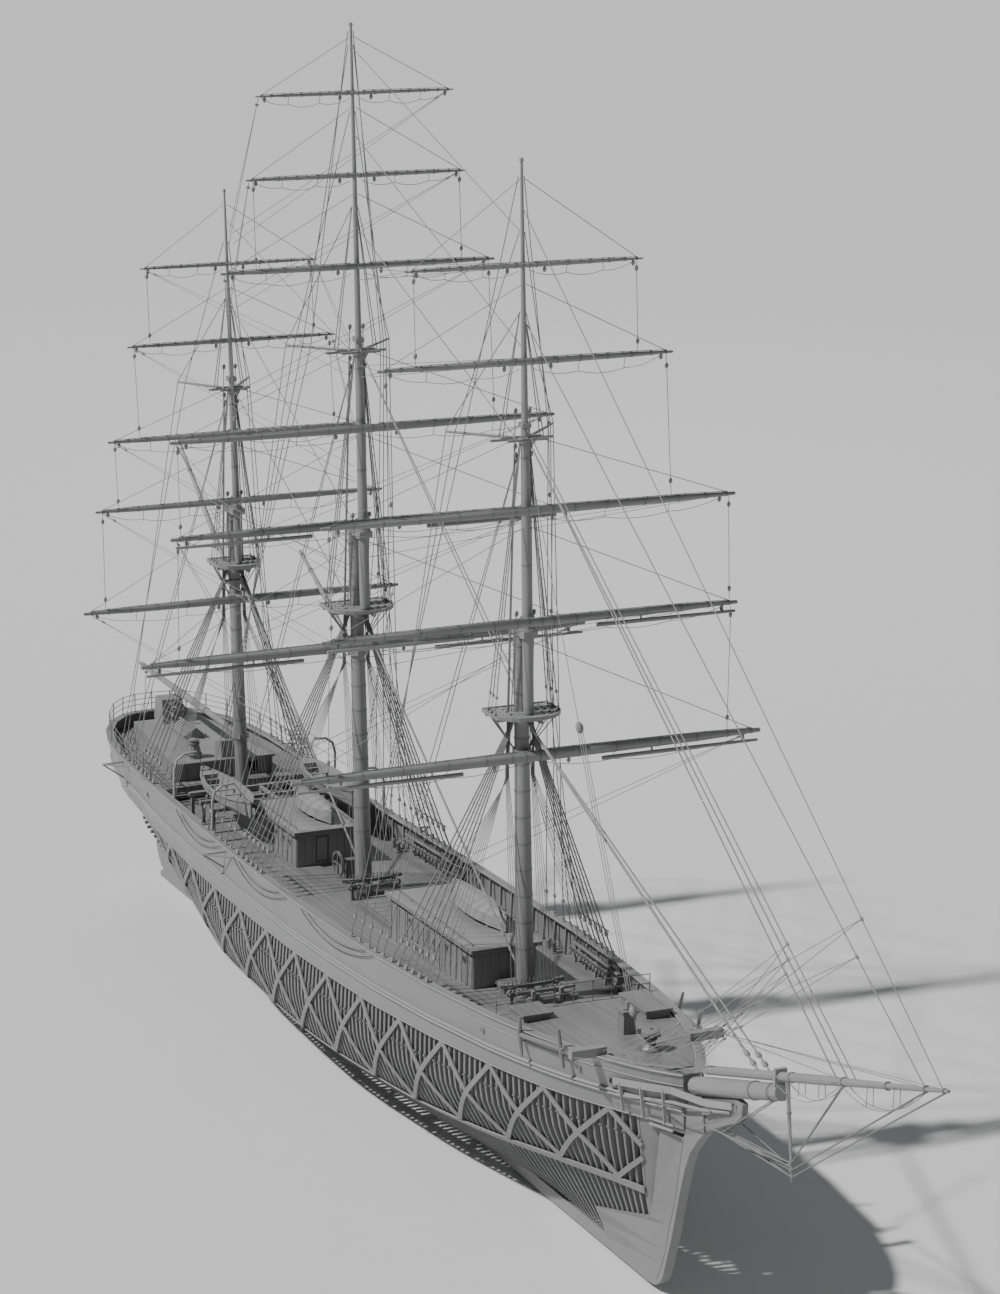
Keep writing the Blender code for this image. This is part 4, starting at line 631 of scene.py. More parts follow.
@dataclass
class Loom:
    """The trees that make what repeats: ropes, bars, studs and blocks."""

    ropes: Weave = field(init=False)
    bars: Weave = field(init=False)
    studs: Weave = field(init=False)
    blocks: Weave = field(init=False)

    def __post_init__(self) -> None:
        """Build the four trees."""
        size = ("NodeSocketFloat", 0.01)
        self.ropes = self.sweep("rope_weave", {"Radius": size, "Sides": ("NodeSocketInt", 5)})
        self.bars = self.sweep("bar_weave", {"Width": size, "Depth": size})
        self.studs = self.scatter("stud_weave")
        self.blocks = self.scatter("block_weave")

    def sweep(self, name: str, sizes: dict[str, tuple[str, float]]) -> Weave:
        """A tree that carries a round or square section along edges.

        Args:
            name: Name of the tree.
            sizes: Its inputs; Radius makes it round.

        Returns:
            The tree.
        """
        weave = Weave(name, sizes)
        out = weave.entry.outputs
        path = weave.node("MeshToCurve", None, {"Mesh": out["Guides"]})
        if "Radius" in sizes:
            inputs = {"Resolution": out["Sides"], "Radius": out["Radius"]}
            section = weave.node("CurvePrimitiveCircle", {"mode": "RADIUS"}, inputs)
        else:
            inputs = {"Width": out["Width"], "Height": out["Depth"]}
            section = weave.node("CurvePrimitiveQuadrilateral", None, inputs)
        inputs = {"Curve": path.outputs[0], "Profile Curve": section.outputs[0], "Fill Caps": True}
        swept = weave.node("CurveToMesh", None, inputs)
        weave.close(swept.outputs[0], "Radius" in sizes)
        return weave

    def scatter(self, name: str) -> Weave:
        """A tree that sets a stud or a block on each point, along its facing.

        Args:
            name: Name of the tree.

        Returns:
            The tree.
        """
        sizes = {"Radius": ("NodeSocketFloat", 0.01), "Depth": ("NodeSocketFloat", 0.01),
                 "Sides": ("NodeSocketInt", 8)}
        weave = Weave(name, sizes)
        out = weave.entry.outputs
        facing = weave.node("InputNamedAttribute", {"data_type": "FLOAT_VECTOR"}, {"Name": "facing"})
        inputs = {"Vector": facing.outputs[0]}
        turn = equip(weave.tree, "FunctionNodeAlignRotationToVector", {"axis": "Z"}, inputs)
        if name == "stud_weave":
            inputs = {"Vertices": out["Sides"], "Radius": out["Radius"], "Depth": out["Depth"]}
            shape = weave.node("MeshCylinder", None, inputs).outputs["Mesh"]
        else:
            inputs = {"Segments": out["Sides"], "Rings": 5, "Radius": out["Radius"]}
            ball = weave.node("MeshUVSphere", None, inputs)
            squeeze = weave.node("Transform", None, {"Geometry": ball.outputs["Mesh"]})
            stretch = equip(weave.tree, "ShaderNodeCombineXYZ", None, {"X": 0.6, "Y": 1.0, "Z": 1.4})
            weave.tree.links.new(stretch.outputs[0], squeeze.inputs["Scale"])
            shape = squeeze.outputs[0]
        inputs = {"Points": out["Guides"], "Instance": shape, "Rotation": turn.outputs[0]}
        placed = weave.node("InstanceOnPoints", None, inputs)
        weave.close(placed.outputs[0], name != "stud_weave")
        return weave

    def lay(self, name: str, paths: Sequence[Line], radius: float, finish: Finish,
            body: str = "ship", slot: str = "", sides: int = 5) -> bpy.types.Object:
        """Lay ropes along paths in full-size metres, with a number of faces round each."""
        sizes = {"Radius": radius * SCALE, "Sides": sides}
        return self.ropes.run(name, guide_lines(name, paths), finish, sizes, body, slot)

    def stud(self, name: str, spots: Sequence[Facing], radius: float,
             depth: float, finish: Finish, body: str = "ship", sides: int = 8,
             weave: Weave | None = None) -> bpy.types.Object:
        """Set studs on spots.

        Args:
            name: Name of the piece.
            spots: Pairs of place and facing in full-size metres.
            radius: Radius of one.
            depth: Length of one along its facing.
            finish: What they are finished in.
            body: The body that they ride on.
            sides: Faces round one.
            weave: Another tree to set them with.

        Returns:
            The finished object.
        """
        guides = bpy.data.meshes.new(name + "_guides")
        guides.from_pydata([Vector(place) * SCALE for place, _ in spots], [], [])
        facing = guides.attributes.new("facing", "FLOAT_VECTOR", "POINT")
        for i, (_, way) in enumerate(spots):
            facing.data[i].vector = way
        sizes = {"Radius": radius * SCALE, "Depth": depth * SCALE, "Sides": sides}
        return (weave or self.studs).run(name, guides, finish, sizes, body)

    def block(self, name: str, spots: Sequence[Facing], radius: float,
              body: str = "ship") -> bpy.types.Object:
        """Hang rounded blocks on spots."""
        return self.stud(name, spots, radius, 2 * radius, GREY.mast, body, weave=self.blocks)


def guide_lines(name: str, paths: Sequence[Line]) -> bpy.types.Mesh:
    """A mesh of edges along paths, in the model's size."""
    points: list[Vector] = []
    edges: list[tuple[int, int]] = []
    for path in paths:
        start = len(points)
        points += [Vector(p) * SCALE for p in path]
        edges += [(start + i, start + i + 1) for i in range(len(path) - 1)]
    guides = bpy.data.meshes.new(name + "_guides")
    guides.from_pydata(points, edges, [])
    return guides


def sag(start: Point, end: Point, drop: float, steps: int = 8) -> list[Vector]:
    """Points of a slack line.

    Args:
        start: Its first end.
        end: Its other end.
        drop: How far its middle hangs below the straight line.
        steps: Number of pieces.

    Returns:
        The points.
    """
    a, b = Vector(start), Vector(end)
    points = []
    for i in range(steps + 1):
        t = i / steps
        points.append(a.lerp(b, t) - Vector((0, 0, drop * 4 * t * (1 - t))))
    return points


def shares(count: int, first: float = 0.0, last: float = 1.0) -> list[float]:
    """Evenly spaced numbers from first to last."""
    return [first + (last - first) * i / (count - 1) for i in range(count)]


# Hull

def fair_curve(xs: Sequence[float], ys: Sequence[float]) -> Callable[[float], float]:
    """A curve through the points that never overshoots between two of them."""
    places = np.array(xs, float)
    levels = np.array(ys, float)
    steps = np.diff(places)
    slopes = np.diff(levels) / steps
    tangents = np.zeros(len(places))
    tangents[0] = slopes[0]
    tangents[-1] = slopes[-1]
    for i in range(1, len(places) - 1):
        if slopes[i - 1] * slopes[i] > 0:
            before = 2 * steps[i] + steps[i - 1]
            after = steps[i] + 2 * steps[i - 1]
            tangents[i] = (before + after) / (before / slopes[i - 1] + after / slopes[i])

    def value(x: float) -> float:
        """Height of the curve at a place."""
        k = int(np.clip(np.searchsorted(places, x) - 1, 0, len(places) - 2))
        t = min(max((x - places[k]) / steps[k], 0.0), 1.0)
        start = (2 * t ** 3 - 3 * t ** 2 + 1) * levels[k] + (t ** 3 - 2 * t ** 2 + t) * steps[k] * tangents[k]
        end = (-2 * t ** 3 + 3 * t ** 2) * levels[k + 1] + (t ** 3 - t ** 2) * steps[k] * tangents[k + 1]
        return float(start + end)

    return value


@dataclass
class HullForm:
    """The lines of the hull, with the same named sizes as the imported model."""

    rail_height: float = 2.446
    rail_slope: float = 0.892
    rail_curve: float = 0.572
    rail_twist: float = -0.062
    half_length: float = 30.0
    plate_depth: float = 2.55
    open_depth: float = 1.624
    deck_depth: float = 1.50
    lower_deck_depth: float = 4.05
    forecastle_depth: float = 0.14
    camber: float = 0.20
    forecastle_camber: float = 0.10
    aft_body: float = -25.0
    rail_stern: float = -35.2
    plate_stern: float = -33.6
    plan_x: Row = (-25.0, -20.0, -10.0, 0.0, 10.0, 18.0, 24.0, 28.0, 30.5, 31.6)
    rail_y: Row = (4.78, 4.95, 5.25, 5.45, 5.25, 4.62, 3.60, 2.35, 1.20, 0.40)
    plate_y: Row = (4.25, 4.90, 5.47, 5.65, 5.33, 4.37, 3.15, 1.75, 0.72, 0.30)
    stations: Row = (-25.0, -22.5, -20.0, -15.0, -10.0, -5.0, 0.0, 5.0, 10.0, 15.0, 20.0, 22.0,
                     24.0, 25.5, 27.0, 28.8, 30.2, 31.1, 31.6)
    stern_shares: Row = (1.0, 0.99, 0.95, 0.86, 0.72, 0.52, 0.28)
    stern_powers: tuple[float, float] = (2.2, 2.6)
    line_x: Row = (-32.0, -30.0, -25.0, -18.0, -9.0, 0.0, 9.0, 17.0, 24.0, 28.0, 30.2)
    cross_y: Row = (0.80, 1.95, 3.40, 4.72, 5.55, 5.72, 5.33, 4.40, 2.90, 1.50, 0.55)
    bilge_y: Row = (0.35, 0.85, 2.15, 3.85, 5.08, 5.25, 4.60, 3.50, 2.20, 1.20, 0.42)
    bilge_z: Row = (-3.10, -3.15, -3.35, -3.70, -3.95, -4.00, -3.85, -3.30, -2.50, -2.15, -2.10)
    floor_y: Row = (0.27, 0.33, 0.90, 2.00, 3.20, 3.30, 2.60, 1.80, 1.00, 0.50, 0.27)
    floor_z: Row = (-5.00, -5.20, -5.40, -5.60, -5.75, -5.80, -5.65, -5.30, -4.80, -4.60, -4.40)
    keel_half: float = 0.23
    keel_z: float = -7.02
    keel_trim: float = 0.004
    keel_depth: float = 0.60
    ledge_aft: tuple[float, float] = (24.6, -4.83)
    ledge_fore: tuple[float, float] = (29.2, -3.51)

    def __post_init__(self) -> None:
        """Prepare the fair curves."""
        self.rail_plan = fair_curve(self.plan_x, self.rail_y)
        self.plate_plan = fair_curve(self.plan_x, self.plate_y)
        self.cross_half = fair_curve(self.line_x, self.cross_y)
        self.bilge_half = fair_curve(self.line_x, self.bilge_y)
        self.bilge_height = fair_curve(self.line_x, self.bilge_z)
        self.floor_half = fair_curve(self.line_x, self.floor_y)
        self.floor_height = fair_curve(self.line_x, self.floor_z)
        self.sides: dict[float, tuple[list[float], list[float]]] = {}
        self.sections: dict[float, list[Vector]] = {}

    def rail(self, x: float) -> float:
        """Height of the top of the rail."""
        t = x / self.half_length
        return self.rail_height + self.rail_slope * t + self.rail_curve * t ** 2 + self.rail_twist * t ** 3

    def stern(self, depth: float) -> float:
        """Where the plated side closes on the centre line."""
        share = max(depth / self.plate_depth - 0.55, 0.0) / 0.45
        return self.rail_stern + (self.plate_stern - self.rail_stern) * share

    def side_curve(self, x: float, depth: float) -> float:
        """Half breadth of the fair side at a depth below the rail."""
        share = depth / self.plate_depth
        edge = max(x, self.aft_body)
        full = self.rail_plan(edge) + (self.plate_plan(edge) - self.rail_plan(edge)) * share
        if x >= self.aft_body:
            return full
        part = min((self.aft_body - x) / (self.aft_body - self.stern(depth)), 1.0)
        along, across = self.stern_powers
        return full * max(1 - part ** along, 0.0) ** (1 / across)

    def plan(self, depth: float) -> list[float]:
        """Stations of the plating, from the stern forward."""
        run = self.stern(depth) - self.aft_body
        return [self.aft_body + run * share for share in self.stern_shares] + list(self.stations)

    def side(self, x: float, depth: float) -> float:
        """Half breadth of the plated side, straight between two stations."""
        if depth not in self.sides:
            stations = self.plan(depth)
            self.sides[depth] = (stations, [self.side_curve(s, depth) for s in stations])
        return float(np.interp(x, *self.sides[depth]))

    def edge(self, x: float) -> float:
        """Height of the plates' lower edge."""
        stations = self.plan(self.plate_depth)
        return float(np.interp(x, stations, [self.rail(s) for s in stations])) - self.plate_depth

    def deck(self, x: float, y: float, depth: float, camber: float) -> float:
        """Height of a cambered deck."""
        half = max(self.side(x, depth) - 0.1, 0.2)
        return self.rail(x) - depth + camber * (1 - min(abs(y) / half, 1.0) ** 2)

    def main_deck(self, x: float, y: float) -> float:
        """Height of the main deck."""
        return self.deck(x, y, self.deck_depth, self.camber)

    def forecastle(self, x: float, y: float) -> float:
        """Height of the forecastle deck."""
        return self.deck(x, y, self.forecastle_depth, self.forecastle_camber)

    def by(self, x: float, side: int, depth: float, out: float, up: float) -> Vector:
        """A point out from the side at a depth, and up from the top of the rail."""
        return Vector((x, side * (self.side(x, depth) + out), self.rail(x) + up))

    def loop(self, depth: float, offset: float) -> list[Vector]:
        """Points round the ship at a depth below the rail, from bow to bow by way of the stern."""
        side = [(x, -self.side_curve(x, depth)) for x in reversed(self.plan(depth))]
        points = []
        for i, (x, y) in enumerate(side):
            ahead = side[max(i - 1, 0)]
            behind = side[min(i + 1, len(side) - 1)]
            run = Vector((ahead[0] - behind[0], ahead[1] - behind[1])).normalized()
            normal = Vector((-1.0, 0.0)) if i + 1 == len(side) else Vector((run.y, -run.x))
            across = min(y + normal.y * offset, 0.0)
            points.append(Vector((x + normal.x * offset, across, self.rail(x) - depth)))
        return points + [Vector((p.x, -p.y, p.z)) for p in reversed(points[:-1])]

    def nodes(self, x: float) -> list[Vector]:
        """Half section as (breadth, height) from the deck's edge to the keel."""
        if x in self.sections:
            return self.sections[x]
        plate = (self.side(x, self.plate_depth), self.edge(x))
        head = (self.side(x, self.open_depth), plate[1] + self.plate_depth - self.open_depth)
        bilge = (self.bilge_half(x), self.bilge_height(x))
        crossing = (self.cross_half(x), (plate[1] + bilge[1]) / 2 - 0.1)
        floor = (self.floor_half(x), self.floor_height(x))
        low = (bilge[0] + (floor[0] - bilge[0]) * 0.17, bilge[1] + (floor[1] - bilge[1]) * 0.17)
        shelf = (head[0] + (plate[0] - head[0]) * 0.4, head[1] + (plate[1] - head[1]) * 0.4)
        keel = (self.keel_half, self.keel_z + self.keel_trim * x + self.keel_depth)
        if x > self.ledge_aft[0] - 0.1:
            run = (x - self.ledge_aft[0]) / (self.ledge_fore[0] - self.ledge_aft[0])
            z = self.ledge_aft[1] + (self.ledge_fore[1] - self.ledge_aft[1]) * run
            share = (low[1] - z) / (low[1] - floor[1])
            keel = (low[0] + (floor[0] - low[0]) * share, z)
            floor = ((low[0] + keel[0]) / 2, (low[1] + keel[1]) / 2)
        self.sections[x] = [Vector(p) for p in (head, shelf, plate, crossing, bilge, low, floor, keel)]
        return self.sections[x]

    def skin(self, x: float, t: float, inset: float) -> tuple[float, float]:
        """A point of the rounded open hull.

        Args:
            x: Place along the ship.
            t: Node number from 0 at the deck's edge to 7 at the keel, with fractions.
            inset: Distance inside the outer faces.

        Returns:
            Breadth and height.
        """
        nodes = self.nodes(x)

        def at(s: float) -> Vector:
            """Rounded section at a node number."""
            k = min(max(int(s), 0), len(nodes) - 2)
            u = s - k
            quad = [nodes[min(max(k + d, 0), len(nodes) - 1)] for d in (-1, 0, 1, 2)]
            a = (quad[2] - quad[0]) * 0.5
            b = (quad[3] - quad[1]) * 0.5
            span = (quad[2] - quad[1]).length
            a = a * min(1.0, span / max(a.length, 1e-6))
            b = b * min(1.0, span / max(b.length, 1e-6))
            cubic, square = u ** 3, u ** 2
            start = quad[1] * (2 * cubic - 3 * square + 1) + a * (cubic - 2 * square + u)
            return start + quad[2] * (3 * square - 2 * cubic) + b * (cubic - square)

        centre = at(t)
        run = (at(min(t + 0.05, 7.0)) - at(max(t - 0.05, 0.0))).normalized()
        slope = (self.side(x + 0.1, self.plate_depth) - self.side(x - 0.1, self.plate_depth)) / 0.2
        oblique = math.hypot(1.0, slope)
        return max(centre.x + run.y * inset * oblique, 0.05), centre.y - run.x * inset


HULL = HullForm()


@dataclass
class OpenHull:
    """Frames, straps, strakes and deck beams that show below the plates."""

    loom: Loom
    first: float = -28.9
    last: float = 29.0
    frame_count: int = 139
    frame_width: float = 0.20
    frame_depth: float = 0.25
    outset: float = 0.116
    strap_thickness: float = 0.075
    strap_width: float = 0.25
    bay: float = 3.87
    bays: int = 14
    first_apex: float = -26.61
    strap_ends: tuple[float, float] = (-29.05, 29.3)
    shelf_node: float = 2.55
    stem_z: Row = (-3.51, -2.35, 0.90, 1.00)
    stem_x: Row = (29.2, 29.6, 30.3, 31.5)

    def level(self, x: float, share: float) -> float:
        """Node number of the skin at a share of the height from the plates' edge to the bilge."""
        nodes = HULL.nodes(x)
        goal = nodes[2].y + (nodes[4].y - nodes[2].y) * share
        low, high = 2.0, 5.0
        for _ in range(14):
            middle = (low + high) / 2
            if HULL.skin(x, middle, 0.0)[1] > goal:
                low = middle
            else:
                high = middle
        return low

    def spot(self, x: float, t: float, side: int, inset: float = 0.0) -> Vector:
        """A point of the open hull at a node number."""
        y, z = HULL.skin(x, t, inset)
        return Vector((x, side * y, z))

    def frames(self) -> None:
        """The close row of frames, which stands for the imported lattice."""
        steps = (0.0, 1.0, 2.0, 2.35, 2.7, 3.0, 3.3, 3.65, 4.0, 4.5, 5.0, 5.35, 5.7, 6.0, 6.35, 6.7, 7.0)
        middle = self.outset + self.frame_depth / 2
        paths = []
        for x, side in product(shares(self.frame_count, self.first, self.last), SIDES):
            paths.append([self.spot(x, t, side, middle) for t in steps])
        sizes = {"Width": self.frame_width * SCALE, "Depth": self.frame_depth * SCALE}
        piece = self.loom.bars.run("frame_row", guide_lines("frame_row", paths), GREY.frames, sizes)
        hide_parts("frames")

    def stringers(self) -> None:
        """Bilge stringers, shelf, keelson and the knees that hold the lower deck's beams."""
        inner = self.outset + self.frame_depth + 0.07
        sketch = Sketch()
        for t, side in product((0.35, 4.6, 5.2), SIDES):
            line = [self.spot(x, t, side, inner) for x in shares(60, self.first, self.last)]
            sketch.rail(line, 0.16, 0.30)
        keelson = [(x, 0.0, HULL.keel_z + HULL.keel_trim * x + 1.15) for x in (self.first, 0.0, 24.0)]
        sketch.rail(keelson, 0.5, 0.5)
        for x in shares(70, self.first, self.last):
            z = HULL.rail(x) - HULL.lower_deck_depth + 0.02
            for side in SIDES:
                y, up = HULL.skin(x, self.shelf_node, inner)
                sketch.beam((x, side * (y + 0.05), up - 0.25), (x, side * (y - 0.5), z - 0.2), 0.10, 0.12)
                sketch.beam((x, side * y, z - 0.26), (x, side * max(y - 1.4, 0.1), z - 0.22), 0.14, 0.16)
        sketch.piece("stringers_and_beams", GREY.frames)

    def knees(self) -> None:
        """The small bolted clips that follow the tween-deck line on the frames' faces."""
        spots = []
        for x, side in product(shares(self.frame_count - 5, self.first + 2.1, self.last), SIDES):
            for t, shift in ((2.58, 0.0), (2.66, 0.09)):
                spots.append((self.spot(x + shift, t, side, self.outset - 0.02), (0.0, side, 0.15)))
        self.loom.stud("frame_clips", spots, 0.055, 0.08, GREY.strap, sides=6)
        spots = []
        for x, side in product(shares(self.frame_count, self.first, 24.2), SIDES):
            spots.append((self.spot(x, 6.86, side, self.outset - 0.01), (0.0, side * 0.6, -0.8)))
        self.loom.stud("keel_bolts", spots, 0.05, 0.06, GREY.strap, sides=6)

    def band(self, sketch: Sketch, line: Sequence[tuple[float, float]], side: int, width: float) -> None:
        """Add a flat band that follows the skin.

        Args:
            sketch: Where it goes.
            line: Places along the ship with their node numbers.
            side: Which side.
            width: Breadth of the band along the skin.
        """
        rings = []
        for i, (x, t) in enumerate(line):
            before, after = line[max(i - 1, 0)], line[min(i + 1, len(line) - 1)]
            run = (self.spot(*after, side) - self.spot(*before, side)).normalized()
            down = self.spot(x, t + 0.06, side) - self.spot(x, max(t - 0.06, 0.0), side)
            fore = self.spot(x + 0.2, t, side) - self.spot(x - 0.2, t, side)
            out = Vector((fore.x, fore.y, 0.0)).cross(down).normalized()
            if out.y * side < 0:
                out = -out
            across = out.cross(run).normalized()
            centre = self.spot(x, t, side)
            inner = centre - out * self.strap_thickness
            rings.append([centre - across * width / 2, centre + across * width / 2,
                          inner + across * width / 2, inner - across * width / 2])
        sketch.loft(rings)

    def straps(self) -> None:
        """The crossed diagonal straps and the bilge strakes."""
        for side, word in ((-1, "starboard"), (1, "port")):
            sketch = Sketch()
            aft, fore = self.strap_ends
            for i in range(-1, self.bays + 1):
                x0 = self.first_apex + self.bay * i
                for low, high in ((x0, x0 + self.bay), (x0 + self.bay, x0)):
                    line = [(low + (high - low) * s, s) for s in shares(25)]
                    line = [(x, self.level(x, s)) for x, s in line if aft <= x <= fore]
                    if len(line) > 1:
                        self.band(sketch, line, side, self.strap_width)
            strake = [(x, self.level(x, 1.06)) for x in shares(64, -29.1, 29.1)]
            self.band(sketch, strake, side, 0.34)
            piece = sketch.piece(f"diagonal_straps_{word}", GREY.strap)
            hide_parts("straps_starboard" if side < 0 else "straps_port")

    def cheeks(self) -> None:
        """Solid timbers that close the fore end between the last frame and the stem."""
        sketch = Sketch()
        aft = self.last - 0.05
        for side in SIDES:
            rings = []
            for t in (1.6, 1.8, 1.95, 2.05, *shares(12, 2.3, 7.0)):
                y, z = HULL.skin(aft, t, self.outset)
                end = float(np.interp(z, self.stem_z, self.stem_x)) + 0.12
                middle = (self.last + end) / 2
                bulge = max(HULL.skin(min(middle, 30.2), t, 0.10)[0], 0.22)
                rings.append([(aft, side * y, z), (middle, side * bulge, z), (end, side * 0.2, z),
                              (end, side * 0.1, z), (aft, side * (y - 0.22), z)])
            sketch.loft(rings)
        sketch.piece("stem_cheeks", GREY.frames)

    def build(self) -> None:
        """Build everything that shows through the open side."""
        self.cheeks()
        self.frames()
        self.stringers()
        self.knees()
        self.straps()


@dataclass
class Bulwarks:
    """Mouldings, rail caps, stanchions and the stern rail."""

    loom: Loom

    def mouldings(self) -> None:
        """The beads along the plated side."""
        beads = [HULL.loop(depth, 0.075) for depth in (1.50, 1.68)]
        self.loom.lay("sheer_mouldings", beads, 0.055, GREY.moulding, sides=8)
        thin = [HULL.loop(depth, 0.012) for depth in (0.55, 2.50)]
        self.loom.lay("thin_mouldings", thin, 0.028, GREY.moulding, sides=6)
        cap = [HULL.loop(0.03, 0.06), HULL.loop(0.03, -0.33)]
        self.loom.lay("rail_beads", cap, 0.04, GREY.moulding, sides=6)

    def stanchions(self) -> None:
        """Upright knees inside the bulwark with the pin rails that they carry."""
        sketch = Sketch()
        for x, side in product(shares(33, -22.0, 19.6), SIDES):
            top = HULL.rail(x) - 0.10
            y = HULL.side(x, 0.1) - 0.22
            foot = HULL.side(x, HULL.deck_depth) - 0.34
            low = HULL.main_deck(x, foot)
            sketch.beam((x, side * foot, low), (x, side * y, top), 0.10, 0.12)
        for (x0, x1), side in product(PIN_RAILS, SIDES):
            line = [HULL.by(x, side, 0.3, -0.42, -0.42) for x in shares(8, x0, x1)]
            sketch.rail(line, 0.22, 0.07)
        sketch.piece("bulwark_stanchions", GREY.joinery)
        spots = []
        for (x0, x1), count in zip(PIN_RAILS, (22, 24, 10)):
            for x, side in product(shares(count, x0 + 0.1, x1 - 0.1), SIDES):
                spots.append((HULL.by(x, side, 0.3, -0.42, -0.36), UP))
        self.loom.stud("belaying_pins", spots, 0.022, 0.42, GREY.iron, sides=6)

    def stern_rail(self) -> None:
        """The open rail round the poop: stanchions and three rods."""
        loop = [p for p in HULL.loop(0.0, -0.14) if p.x < -22.0]
        rods = [[p + UP * (0.05 + rise) for p in loop] for rise in (0.36, 0.68, 1.0)]
        self.loom.lay("stern_rods", rods, 0.022, GREY.iron)
        posts = []
        for a, b in pairwise(loop):
            steps = max(int((b - a).length / 1.2), 1)
            for i in range(steps):
                p = a.lerp(b, i / steps)
                posts.append([p, p + UP * 1.08])
        self.loom.lay("stern_stanchions", posts, 0.032, GREY.iron, sides=6)

    def build(self) -> None:
        """Build all of the bulwark's dress."""
        self.mouldings()
        self.stanchions()
        self.stern_rail()


# Masts and yards

@dataclass(frozen=True)
class YardPlan:
    """One yard: its size, where its lifts go and where its braces lead."""

    label: str
    z: float
    length: float
    ahead: float
    radius: float
    lift_z: float
    brace: Spot
    booms: bool = False


@dataclass
class MastPlan:
    """One mast with its tops, yards, shrouds and stays."""

    name: str
    x: float
    rake: float
    offset: float
    top_z: float
    cap_z: float
    cross_z: float
    head_z: float
    truck_z: float
    radii: Row
    top_half: float
    shroud_feet: Row
    backstay_feet: Row
    yards: tuple[YardPlan, ...]
    stays: tuple[tuple[float, Spot, float], ...]

    def lower(self, z: float) -> float:
        """Place of the lower mast's axis at a height."""
        return self.x - math.tan(math.radians(self.rake)) * (z - 2.25)

    def upper(self, z: float) -> float:
        """Place of the topmast's axis at a height."""
        return self.lower(z) + self.offset

    def axis(self) -> Vector:
        """Direction of the mast."""
        angle = math.radians(self.rake)
        return Vector((-math.sin(angle), 0.0, math.cos(angle)))

    def radius(self, z: float, course: bool) -> float:
        """Radius of the lower mast, or of the topmast and pole, at a height."""
        r0, r1, r2, r3, r4, r5 = self.radii
        if course:
            return r0 + (r1 - r0) * min(max((z - 3.0) / (self.top_z - 3.6), 0.0), 1.0)
        if z < self.head_z:
            return r2 + (r3 - r2) * max((z - self.cap_z) / (self.head_z - self.cap_z), 0.0)
        return r4 + (r5 - r4) * (z - self.head_z) / (self.truck_z - self.head_z)

    def yard_x(self, plan: YardPlan) -> float:
        """Place of a yard's axis."""
        course = plan.label == "course"
        collar = (self.radius(plan.z, course) + 0.005) / math.cos(math.pi / 8) + 0.07
        x = self.lower(plan.z) if course else self.upper(plan.z)
        return x + max(plan.ahead, collar + plan.radius * 0.9)


